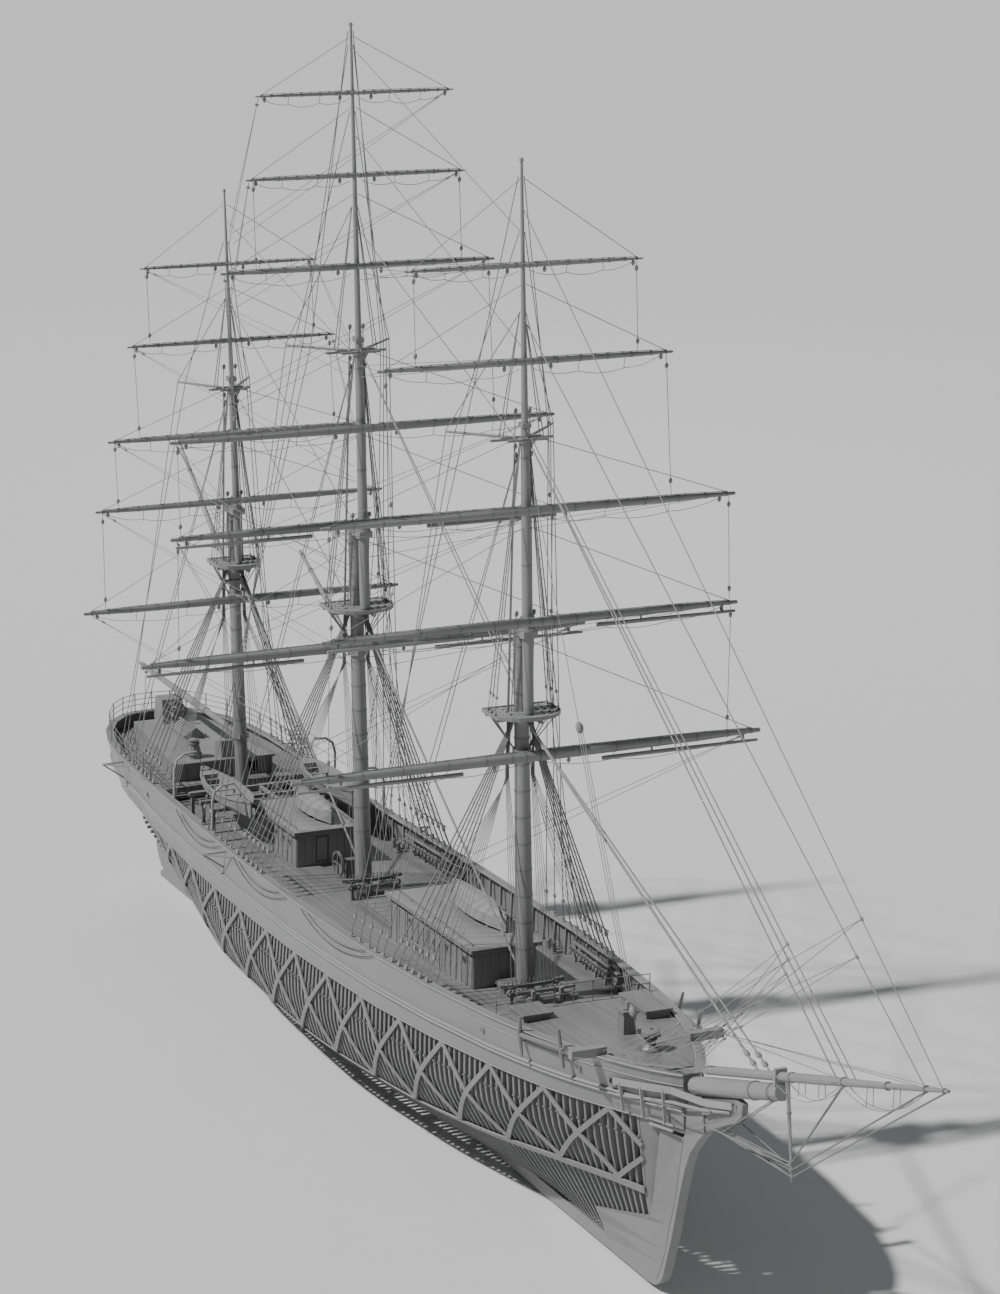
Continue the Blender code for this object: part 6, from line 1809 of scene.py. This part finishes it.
@dataclass
class HouseDress:
    """Panels, cornices, ports and handrails of a deckhouse."""

    name: str
    aft: float
    fore: float
    half_aft: float
    half_fore: float
    roof: float
    loom: Loom
    gaps: Row = ()
    door: Spot | None = None

    def half(self, x: float) -> float:
        """Half breadth of the house."""
        return self.half_aft + (self.half_fore - self.half_aft) * (x - self.aft) / (self.fore - self.aft)

    def foot(self, x: float, y: float) -> float:
        """Height of the deck by the wall."""
        return HULL.main_deck(x, y) + 0.01

    def build(self) -> None:
        """Build the dress of the house."""
        sketch = Sketch()
        top = self.roof - 0.02
        count = int((self.fore - self.aft) / 0.58) + 1
        for x, side in product(shares(count, self.aft + 0.06, self.fore - 0.06), SIDES):
            if side < 0 and any(abs(x - gap) < 0.46 for gap in self.gaps):
                continue
            y = side * self.half(x)
            low, high = sorted((y - side * 0.01, y + side * 0.035))
            sketch.box((x - 0.045, low, self.foot(x, y)), (x + 0.045, high, top))
        for x, out in ((self.aft, -1), (self.fore, 1)):
            for y in shares(8, -self.half(x) + 0.05, self.half(x) - 0.05):
                if self.door and abs(x - self.door[0]) < 0.1 and self.door[1] < y < self.door[2]:
                    continue
                low, high = sorted((x - out * 0.01, x + out * 0.035))
                sketch.box((low, y - 0.045, self.foot(x, y)), (high, y + 0.045, top))
        for rise, over in ((0.05, 0.245), (0.17, 0.235)):
            ends = ((self.aft, -1, -1), (self.fore, 1, -1), (self.fore, 1, 1), (self.aft, -1, 1),
                    (self.aft, -1, -1))
            corners = [(x + out * over, side * (self.half(x) + over), self.roof + rise)
                       for x, out, side in ends]
            sketch.rail(corners, 0.05, 0.07)
        sketch.piece(f"{self.name}_panels", GREY.joinery)
        rods = []
        for side in SIDES:
            y = side * (self.half_fore - 0.06)
            rods.append([(self.aft + 0.3, y, self.roof + 0.33), (self.fore - 0.3, y, self.roof + 0.33)])
            for x in shares(7, self.aft + 0.3, self.fore - 0.3):
                rods.append([(x, y, self.roof + 0.2), (x, y, self.roof + 0.34)])
        self.loom.lay(f"{self.name}_handrails", rods, 0.022, GREY.iron)
        ports = Sketch()
        glass = []
        for x, side in product(shares(4, self.aft + 2.2, self.fore - 1.0), SIDES):
            y = side * (self.half(x) + 0.012)
            ports.ring((x, y, self.roof - 0.62), (0, side, 0), 0.13, 0.18, 0.05, 16)
            glass.append(((x, y, self.roof - 0.62), (0, side, 0)))
        ports.piece(f"{self.name}_port_rims", GREY.iron)
        self.loom.stud(f"{self.name}_port_glass", glass, 0.135, 0.02, GREY.dark, sides=16)


@dataclass(frozen=True)
class Boat:
    """One ship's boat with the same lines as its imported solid."""

    name: str
    aft: float
    fore: float
    y: float
    z: float
    beam: float
    depth: float
    upturned: bool

    def point(self, share: float, level: float) -> Vector:
        """A point of its skin.

        Args:
            share: Place along it, from 0 aft to 1 forward.
            level: From -1 at one gunwale by way of 0 at the keel to 1 at the other.

        Returns:
            The point.
        """
        full = max(1 - abs(2 * share - 1) ** 2.4, 0.06)
        half = self.beam / 2 * full
        rise = self.depth * 0.18 * abs(2 * share - 1) ** 2
        deep = self.depth * (0.75 + 0.25 * full)
        marks = (0.0, 0.35, 0.75, 1.0)
        breadth = float(np.interp(abs(level), marks, (half * 0.05, half * 0.25, half * 0.82, half)))
        keel = self.depth - deep * 0.93
        heights = (keel, keel, self.depth - deep * 0.55, self.depth + rise)
        up = float(np.interp(abs(level), marks, heights))
        up = self.z - (up - self.depth) if self.upturned else self.z + up
        side = -1 if level < 0 else 1
        return Vector((self.aft + (self.fore - self.aft) * share, self.y + side * breadth, up))


@dataclass
class BoatDress:
    """Strakes, gunwales, thwarts and ribs of one boat."""

    boat: Boat
    loom: Loom

    def build(self) -> None:
        """Build the dress of the boat."""
        boat = self.boat
        levels = (0.98, 0.80, 0.58)
        strakes = [[boat.point(s, side * level) for s in shares(19)] for level in levels for side in SIDES]
        self.loom.lay(f"{boat.name}_strakes", strakes, 0.022, GREY.boat, sides=5)
        lift = UP * (0.03 if boat.upturned else -0.02)
        keel = [boat.point(s, 0.0) + lift for s in shares(9, 0.03, 0.97)]
        sketch = Sketch()
        sketch.rail(keel, 0.07, 0.10)
        if not boat.upturned:
            for s in shares(6, 0.18, 0.82):
                a, b = boat.point(s, 0.90), boat.point(s, -0.90)
                sketch.beam(a + Vector((0, -0.02, -0.05)), b + Vector((0, 0.02, -0.05)), 0.20, 0.05)
            for side in SIDES:
                sketch.rail([boat.point(s, side) + UP * 0.02 for s in shares(19)], 0.10, 0.06)
        sketch.piece(f"{boat.name}_timbers", GREY.boat)


@dataclass
class DeckFittings:
    """Pins, battens, rails, ladders, davits and small iron on the decks."""

    loom: Loom

    def pins(self) -> None:
        """Belaying pins in the fife rails with rope coils on them and on the pin rails."""
        spots = []
        coils = Sketch()
        for x in FIFE_RAILS[:2]:
            z = HULL.main_deck(x, 0.0) + 1.0
            for y in shares(13, -1.3, 1.3):
                spots.append(((x, y, z + 0.08), UP))
                if abs(y) > 0.3:
                    coils.ring((x + 0.13, y, z - 0.30), (1, 0.2, 0), 0.10, 0.17, 0.10, 10)
        x = FIFE_RAILS[2]
        for y in shares(9, -1.1, 1.1):
            spots.append(((x, y, HULL.main_deck(x, 0.0) + 1.05), UP))
        self.loom.stud("fife_pins", spots, 0.026, 0.46, GREY.iron, sides=6)
        for (x0, x1), count in zip(PIN_RAILS, (15, 16, 7)):
            for x, side in product(shares(count, x0 + 0.1, x1 - 0.1), SIDES):
                coils.ring(HULL.by(x, side, 0.3, -0.56, -0.78), (0.15, 1, 0), 0.11, 0.18, 0.09, 10)
        coils.piece("rope_coils", GREY.rope)

    def timber(self) -> None:
        """Hatch battens, the mizzen's fife rail, ladders and the seat at the break of the poop."""
        sketch = Sketch()
        top = HULL.main_deck(1.0, 0.0) + 0.40
        for x in shares(7, -0.9, 2.9):
            sketch.box((x - 0.03, -1.47, top), (x + 0.03, 1.47, top + 0.09))
        x = FIFE_RAILS[2]
        z = HULL.main_deck(x, 0.0)
        for side in SIDES:
            sketch.box((x - 0.09, side * 1.1 - 0.09, z), (x + 0.09, side * 1.1 + 0.09, z + 1.2))
            sketch.box((x + 1.0, side * 2.6 - 0.06, z), (x + 1.12, side * 2.6 + 0.06, z + 0.9))
        sketch.box((x - 0.1, -1.3, z + 0.95), (x + 0.1, 1.3, z + 1.07))
        for y in (-2.2, 2.2):
            low = HULL.main_deck(19.3, y)
            high = HULL.rail(20.0) - 0.14
            for k in (-0.32, 0.32):
                sketch.beam((19.2, y + k, low), (20.02, y + k, high), 0.05, 0.12)
            for s in shares(6, 0.12, 0.9):
                x = 19.2 + 0.82 * s
                z = low + (high - low) * s
                sketch.box((x - 0.09, y - 0.32, z - 0.02), (x + 0.09, y + 0.32, z + 0.02))
        z = HULL.main_deck(-21.6, 0.0)
        for side in SIDES:
            for x in (-22.3, -21.9):
                sketch.box((x - 0.03, side * 2.6 - 1.1, z + 0.42), (x + 0.09, side * 2.6 + 1.1, z + 0.47))
            for y in (side * 2.6 - 1.0, side * 2.6 + 1.0):
                sketch.box((-22.3, y - 0.05, z), (-21.85, y + 0.05, z + 0.42))
        for y in shares(9, -2.8, 2.8):
            sketch.box((-23.60, y - 0.05, POOP_ROOF - 1.25), (-23.52, y + 0.05, POOP_ROOF))
        sketch.box((-23.66, -3.0, POOP_ROOF - 0.04), (-23.46, 3.0, POOP_ROOF + 0.09))
        for x, side in product(shares(8, -30.3, -28.2), SIDES):
            sketch.beam((x, side * 0.53, POOP_ROOF + 0.24), (x, side * 0.03, POOP_ROOF + 0.585), 0.04, 0.04)
        for y in (-0.62, 0.62):
            sketch.beam((-30.5, y, POOP_ROOF + 0.22), (-28.0, y, POOP_ROOF + 0.22), 0.08, 0.10)
        sketch.beam((-30.5, 0.0, POOP_ROOF + 0.60), (-28.0, 0.0, POOP_ROOF + 0.60), 0.12, 0.07)
        sketch.piece("deck_timber", GREY.joinery)

    def iron(self) -> None:
        """Forecastle rail, davits, bell, binnacle rings, bollards, and dark discs of painted shade in the
        capstan's sockets.
        """
        rods = []
        x = 20.15
        for y in shares(9, -3.9, 3.9):
            z = HULL.forecastle(x, y)
            rods.append([(x, y, z), (x, y, z + 0.95)])
        for rise in (0.5, 0.95):
            rods.append([(x, y, HULL.forecastle(x, y) + rise) for y in shares(9, -3.9, 3.9)])
        self.loom.lay("forecastle_rail", rods, 0.026, GREY.iron)
        davits = []
        falls = []
        for x, side in product((-18.9, -12.7), SIDES):
            y = side * (HULL.side(x, 0.4) - 0.30)
            z = HULL.rail(x)
            davits.append([(x, y, z - 1.2), (x, y, z + 1.6), (x, y - side * 0.15, z + 2.15),
                           (x, y - side * 0.55, z + 2.45), (x, y - side * 1.25, z + 2.50)])
            for k in (-0.05, 0.05):
                falls.append([(x + k, y - side * 1.25, z + 2.45), (x + k, side * 2.95, 3.65)])
        self.loom.lay("davits", davits, 0.075, GREY.moulding, slot="iron", sides=8)
        self.loom.lay("davit_falls", falls, 0.018, GREY.line)
        sketch = Sketch()
        bell = ((0.05, 0.0), (0.10, 0.05), (0.12, 0.22), (0.19, 0.34))
        sketch.turned((25.1, 0.18, 5.02), (0, 0, -1), bell, 14)
        for rise, radius in ((0.22, 0.47), (0.82, 0.34), (1.0, 0.31)):
            sketch.ring((-24.8, -1.35, POOP_ROOF + rise), UP, radius - 0.03, radius + 0.03, 0.05, 16)
        for x, side in product((8.5, -16.3, 18.4, -10.2), SIDES):
            y = side * (HULL.side(x, 0.6) - 0.75)
            z = HULL.main_deck(x, y)
            for k in (-0.28, 0.28):
                sketch.turned((x + k, y, z), UP, ((0.13, 0.0), (0.12, 0.42), (0.16, 0.46), (0.12, 0.55)), 12)
            sketch.box((x - 0.5, y - 0.18, z - 0.02), (x + 0.5, y + 0.18, z + 0.06))
        for z in (0.20, 0.55):
            sketch.ring(CAPSTAN + UP * z, UP, 0.24, 0.31, 0.05, 16)
        for side in SIDES:
            tip = HULL.by(24.4, side, 0.0, -0.10, 0.05) + FORWARD * 1.6
            sketch.ring(tip, (0, 1, 0), 0.13, 0.19, 0.06, 14)
        sketch.piece("deck_iron", GREY.iron)
        # Dark discs round the capstan head: painted shade standing for the socket holes.
        sockets = []
        for k in range(8):
            angle = math.pi * k / 4
            way = Vector((math.cos(angle), math.sin(angle), 0.0))
            sockets.append((CAPSTAN + way * 0.432 + UP * 0.70, way))
        self.loom.stud("capstan_socket_shade", sockets, 0.05, 0.04, GREY.dark, "capstan")

    def side(self) -> None:
        """Swagged ropes, port rims and brace bumpkins outside the plating."""
        swags = []
        for (x0, x1), side in product(((-17.5, -10.5), (-8.5, -1.0), (1.0, 9.5)), SIDES):
            for drop, inset in ((0.75, 0.0), (0.42, 0.9)):
                line = []
                for s in shares(13):
                    x = x0 + inset + (x1 - x0 - 2 * inset) * s
                    depth = 0.12 + drop * 4 * s * (1 - s)
                    line.append(HULL.by(x, side, depth, 0.09, -depth))
                swags.append(line)
        self.loom.lay("side_ropes", swags, 0.02, GREY.dark, slot="rope")
        sketch = Sketch()
        for x, side in product((-9.8, -27.0), SIDES):
            y = HULL.side(x, 0.3)
            z = HULL.rail(x) - 0.25
            tip = (x - 0.3, side * (y + 1.15), z - 0.1)
            for start in ((x, side * y, z), (x + 1.0, side * y, z), (x, side * y, z - 0.9)):
                sketch.tube([start, tip], [0.05, 0.04], 6)
        for x, side in product((19.6, 26.3, -22.8), SIDES):
            sketch.ring(HULL.by(x, side, 0.9, 0.01, -0.9), (0, side, 0), 0.11, 0.17, 0.06, 14)
        sketch.piece("side_irons", GREY.iron)

    def build(self) -> None:
        """Build the fittings."""
        self.pins()
        self.timber()
        self.iron()
        self.side()


@dataclass
class RunningGear:
    """Falls from the masts down to the pins."""

    plan: MastPlan
    loom: Loom
    fife: float
    pins: tuple[float, float]

    def build(self) -> None:
        """Lay the falls and their blocks."""
        plan = self.plan
        falls = []
        blocks = []
        heads = (plan.top_z - 0.6, plan.cap_z + 0.9, plan.cross_z - 0.7, plan.cross_z - 0.3,
                 plan.head_z + 0.5)
        for side, (i, z) in product(SIDES, enumerate(heads)):
            reach = plan.radius(z, z < plan.cap_z)
            x = (plan.lower(z) if z < plan.cap_z else plan.upper(z)) - 0.22
            head = Vector((x, side * (reach + 0.20), z))
            blocks.append((head, UP))
            lead = plan.yards[0].z - 1.3
            out = plan.radius(lead, True) + 0.22 + 0.04 * i
            guide = Vector((plan.lower(lead) - 0.22, side * out, lead))
            foot_z = HULL.main_deck(self.fife, 0.0) + 1.15
            falls.append([head, guide, (self.fife, side * (0.35 + 0.2 * i), foot_z)])
            for k in (0, 1):
                foot_x = self.pins[0] + (self.pins[1] - self.pins[0]) * (i * 2 + k + 0.5) / 10
                shift = Vector((-0.05 * k, 0.0, 0.0))
                falls.append([head + shift, guide + shift, HULL.by(foot_x, side, 0.3, -0.42, -0.3)])
        self.loom.lay(f"{plan.name}_falls", falls, 0.015, GREY.line, sides=4)
        self.loom.block(f"{plan.name}_fall_blocks", blocks, 0.11)


@dataclass
class RoundSpars:
    """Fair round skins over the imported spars, with the hoops and halyards of the gaffs."""

    loom: Loom
    swell: float = 1.018
    sides: int = 24

    def skin(self, name: str, runs: Sequence[tuple[Line, Sequence[float]]],
             finish: Finish, body: str = "ship") -> None:
        """Lay a skin over a spar.

        Args:
            name: Name of the spar.
            runs: Centre lines, each with the radius at its points.
            finish: What it is finished in.
            body: The body that it rides on.
        """
        sketch = Sketch()
        for line, radii in runs:
            sketch.tube(line, [radius * self.swell for radius in radii], self.sides)
        sketch.piece(f"{name}_skin", finish, body)

    def mast(self, plan: MastPlan) -> None:
        """The lower mast, the upper mast and the yards of one mast."""
        heights = (1.4, 3.0, plan.top_z - 0.6, plan.cap_z + 0.16)
        line = [(plan.lower(z), 0.0, z) for z in heights]
        self.skin(f"{plan.name}_lower_mast", [(line, [plan.radius(z, True) for z in heights])], GREY.mast)
        runs = []
        parts = ((plan.top_z + 0.35, plan.cap_z, plan.head_z - 0.11), (plan.head_z, plan.truck_z - 0.1))
        for heights in parts:
            line = [(plan.upper(z), 0.0, z) for z in heights]
            runs.append((line, [plan.radius(z, False) for z in heights]))
        self.skin(f"{plan.name}_upper_mast", runs, GREY.mast)
        for yard in plan.yards:
            marks = [(-share, size) for share, size in reversed(YARD_TAPER)] + list(YARD_TAPER)
            line = [(plan.yard_x(yard), share * yard.length / 2, yard.z) for share, _ in marks]
            body = f"{plan.name}_{yard.label}"
            self.skin(f"{body}_yard", [(line, [yard.radius * size for _, size in marks])], GREY.yard, body)

    def gaff(self, body: str, plan: MastPlan, ring_z: float, tip: Spot, radius: float,
             hoist_z: float) -> None:
        """A gaff or boom with its hoops and the ropes that hold it up.

        Args:
            body: Its body.
            plan: The mast that carries it.
            ring_z: Height of its collar.
            tip: Its outer end.
            radius: Radius at its middle.
            hoist_z: Where its ropes leave the mast.
        """
        start = Vector((plan.lower(ring_z) - plan.radius(ring_z, True) - 0.2, 0.0, ring_z))
        end = Vector(tip)
        line = [start, start.lerp(end, 0.5), end]
        self.skin(body, [(line, [radius * 0.8, radius, radius * 0.55])], GREY.boom, body)
        sketch = Sketch()
        for share in (0.08, 0.3, 0.55, 0.8, 0.96):
            size = radius * float(np.interp(share, (0.0, 0.5, 1.0), (0.8, 1.0, 0.55)))
            sketch.ring(start.lerp(end, share), end - start, size * 0.8, size + 0.03, 0.10, 14)
        sketch.piece(f"{body}_hoops", GREY.iron, body)
        head = Vector((plan.lower(hoist_z) - plan.radius(hoist_z, True), 0.0, hoist_z))
        ropes = [[head, start.lerp(end, share)] for share in (0.5, 0.93)]
        rope = self.loom.lay(f"{body}_halyards", ropes, 0.02, GREY.line, FREE, sides=5)
        rope_blend(rope, body, start.lerp(end, 0.45), head)

    def build(self, masts: Sequence[MastPlan]) -> None:
        """Round every spar."""
        for plan in masts:
            self.mast(plan)
        _, main, mizzen = masts
        self.gaff("spanker_boom", mizzen, 4.56, (-36.95, 0.0, 4.60), 0.20, 12.3)
        self.gaff("spanker_gaff", mizzen, 13.02, (-30.4, 0.0, 19.0), 0.13, mizzen.cap_z)
        self.gaff("main_gaff", main, 13.40, (-12.8, 0.0, 16.9), 0.13, main.cap_z)
        booms = (("bowsprit", (32.6, 3.729), (38.9, 5.78), (0.42, 0.40, 0.365)),
                 ("jib_boom", (33.0, 4.62), (51.95, 10.604), (0.20, 0.20, 0.07)))
        for name, (x0, z0), (x1, z1), radii in booms:
            line = [Vector((x0, 0.0, z0)).lerp(Vector((x1, 0.0, z1)), share) for share in (0.0, 0.5, 1.0)]
            self.skin(name, [(line, radii)], GREY.boom)


# Stage

@dataclass
class Studio:
    """Camera, lights and floor."""

    place: Spot = (17.0018, -7.5594, 6.5398)
    yaw: float = 154.49
    pitch: float = -15.15
    roll: float = 1.18
    focal_share: float = 3910.8 / 1294.0
    sensor: float = 36.0
    floor_z: float = -0.7165
    floor_reach: float = 400.0
    sky: tuple[float, float, float, float] = (0.80, 0.82, 0.85, 1.0)
    sky_strength: float = 0.15

    def camera(self) -> None:
        """The camera at the photograph's viewpoint."""
        data = bpy.data.cameras.new("view")
        data.sensor_fit = "VERTICAL"
        data.sensor_height = self.sensor
        data.lens = self.focal_share * self.sensor
        data.clip_end = 1000.0
        camera = add_object("view", data)
        yaw, pitch, roll = (math.radians(a) for a in (self.yaw, self.pitch, self.roll))
        ahead = Vector((math.cos(pitch) * math.cos(yaw), math.cos(pitch) * math.sin(yaw), math.sin(pitch)))
        right = ahead.cross(UP).normalized()
        up = right.cross(ahead)
        turned_right = right * math.cos(roll) + up * math.sin(roll)
        turned_up = up * math.cos(roll) - right * math.sin(roll)
        matrix = camera.matrix_world.to_3x3()
        matrix.col[0], matrix.col[1], matrix.col[2] = turned_right, turned_up, -ahead
        camera.matrix_world = matrix.to_4x4()
        camera.location = self.place
        bpy.context.scene.camera = camera

    def sun(self, toward: Spot, strength: float, angle: float) -> None:
        """A far lamp whose light falls alike on the ship and on the whole floor."""
        data = bpy.data.lights.new("key", "SUN")
        data.energy = strength
        data.angle = math.radians(angle)
        add_object("key", data).rotation_euler = Vector(toward).to_track_quat("-Z", "Y").to_euler()

    def light(self, name: str, place: Spot, size: float, power: float) -> None:
        """An area light that faces the ship."""
        data = bpy.data.lights.new(name, "AREA")
        data.size = size
        data.energy = power
        lamp = add_object(name, data)
        lamp.location = place
        lamp.rotation_euler = (UP * 0.8 - Vector(place)).to_track_quat("-Z", "Y").to_euler()

    def build(self) -> None:
        """Build the stage."""
        self.camera()
        self.sun((0.14, 0.85, -1.0), 4.0, 2.0)
        self.light("fill", (16.0, -4.0, 9.0), 6.0, 110.0)
        self.light("back", (-14.0, 8.0, 12.0), 5.0, 300.0)
        world = bpy.data.worlds.new("studio")
        world.use_nodes = True
        background = world.node_tree.nodes["Background"]
        background.inputs["Color"].default_value = self.sky
        background.inputs["Strength"].default_value = self.sky_strength
        bpy.context.scene.world = world
        floor = bpy.data.meshes.new("floor")
        corners = [(x * self.floor_reach, y * self.floor_reach, self.floor_z)
                   for x, y in ((-1, -1), (1, -1), (1, 1), (-1, 1))]
        floor.from_pydata(corners, [], [(0, 1, 2, 3)])
        finish = Finish("finish_floor", tone=0.72, spread=0.01, roughness=0.8, strength=0.0)
        floor.materials.append(finish.material())
        plane = add_object("floor", floor)


class PackedDress:
    """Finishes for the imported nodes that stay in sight."""

    def chosen(self, node: str, slot: str) -> Finish:
        """The finish of a node.

        Args:
            node: Name of the node.
            slot: Its material slot in the record.

        Returns:
            The finish.
        """
        if slot == "spar":
            if node.endswith("_yard"):
                return GREY.yard
            return GREY.mast if node.endswith("_mast") else GREY.boom
        if node.endswith("_roof"):
            return GREY.roof
        if "boat" in node:
            return GREY.boat
        return GREY.timber if slot == "hull_timber" else getattr(GREY, slot)

    def build(self, nodes: dict[str, bpy.types.Object], record: dict) -> None:
        """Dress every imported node.

        Args:
            nodes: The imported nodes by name.
            record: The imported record.
        """
        slots = {row["node"]: row["material_slot"] for row in record["subparts"]}
        for name, piece in nodes.items():
            finish = self.chosen(name, slots[name])
            piece.data.materials.clear()
            piece.data.materials.append(finish.material())
            LOG.info("%s: packed node in %s", name, finish.name)


def main() -> None:
    """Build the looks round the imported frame."""
    logging.basicConfig(level=logging.INFO, format="%(name)s: %(message)s")
    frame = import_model()
    loom = Loom()
    Studio().build()
    PackedDress().build(frame["nodes"], frame["record"])
    OpenHull(loom).build()
    Bulwarks(loom).build()
    masts = make_masts()
    for mast in masts:
        MastDress(mast, loom).build()
        below: YardPlan | None = None
        for plan in mast.yards:
            YardDress(mast, plan, loom).build(below if plan.label != "skysail" else None)
            below = plan
    HeadGear(loom, masts[0]).build()
    RoundSpars(loom).build(masts)
    houses = (
        HouseDress("fore_house", aft=3.7, fore=12.8, half_aft=1.85, half_fore=1.60, roof=FORE_ROOF,
                   loom=loom, gaps=(4.975,)),
        HouseDress("aft_house", aft=-14.6, fore=-9.0, half_aft=1.70, half_fore=1.62, roof=AFT_ROOF,
                   loom=loom, door=(-9.0, -0.6, 0.2)))
    boats = (
        Boat("fore_boat", 5.2, 11.4, y=0.75, z=FORE_ROOF + CHOCK_HEIGHT, beam=1.7, depth=0.86, upturned=True),
        Boat("aft_boat", -14.0, -9.3, y=0.45, z=AFT_ROOF + CHOCK_HEIGHT, beam=1.5, depth=0.86, upturned=True),
        Boat("starboard_boat", -19.3, -12.2, y=-2.9, z=2.50, beam=1.8, depth=0.95, upturned=False),
        Boat("port_boat", -19.3, -12.2, y=2.9, z=2.50, beam=1.8, depth=0.95, upturned=False))
    for dress in (*houses, *(BoatDress(boat, loom) for boat in boats)):
        dress.build()
    DeckFittings(loom).build()
    for mast, fife, pins in zip(masts, FIFE_RAILS, PIN_RAILS):
        RunningGear(mast, loom, fife, pins).build()
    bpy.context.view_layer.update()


if __name__ == "__main__":
    main()
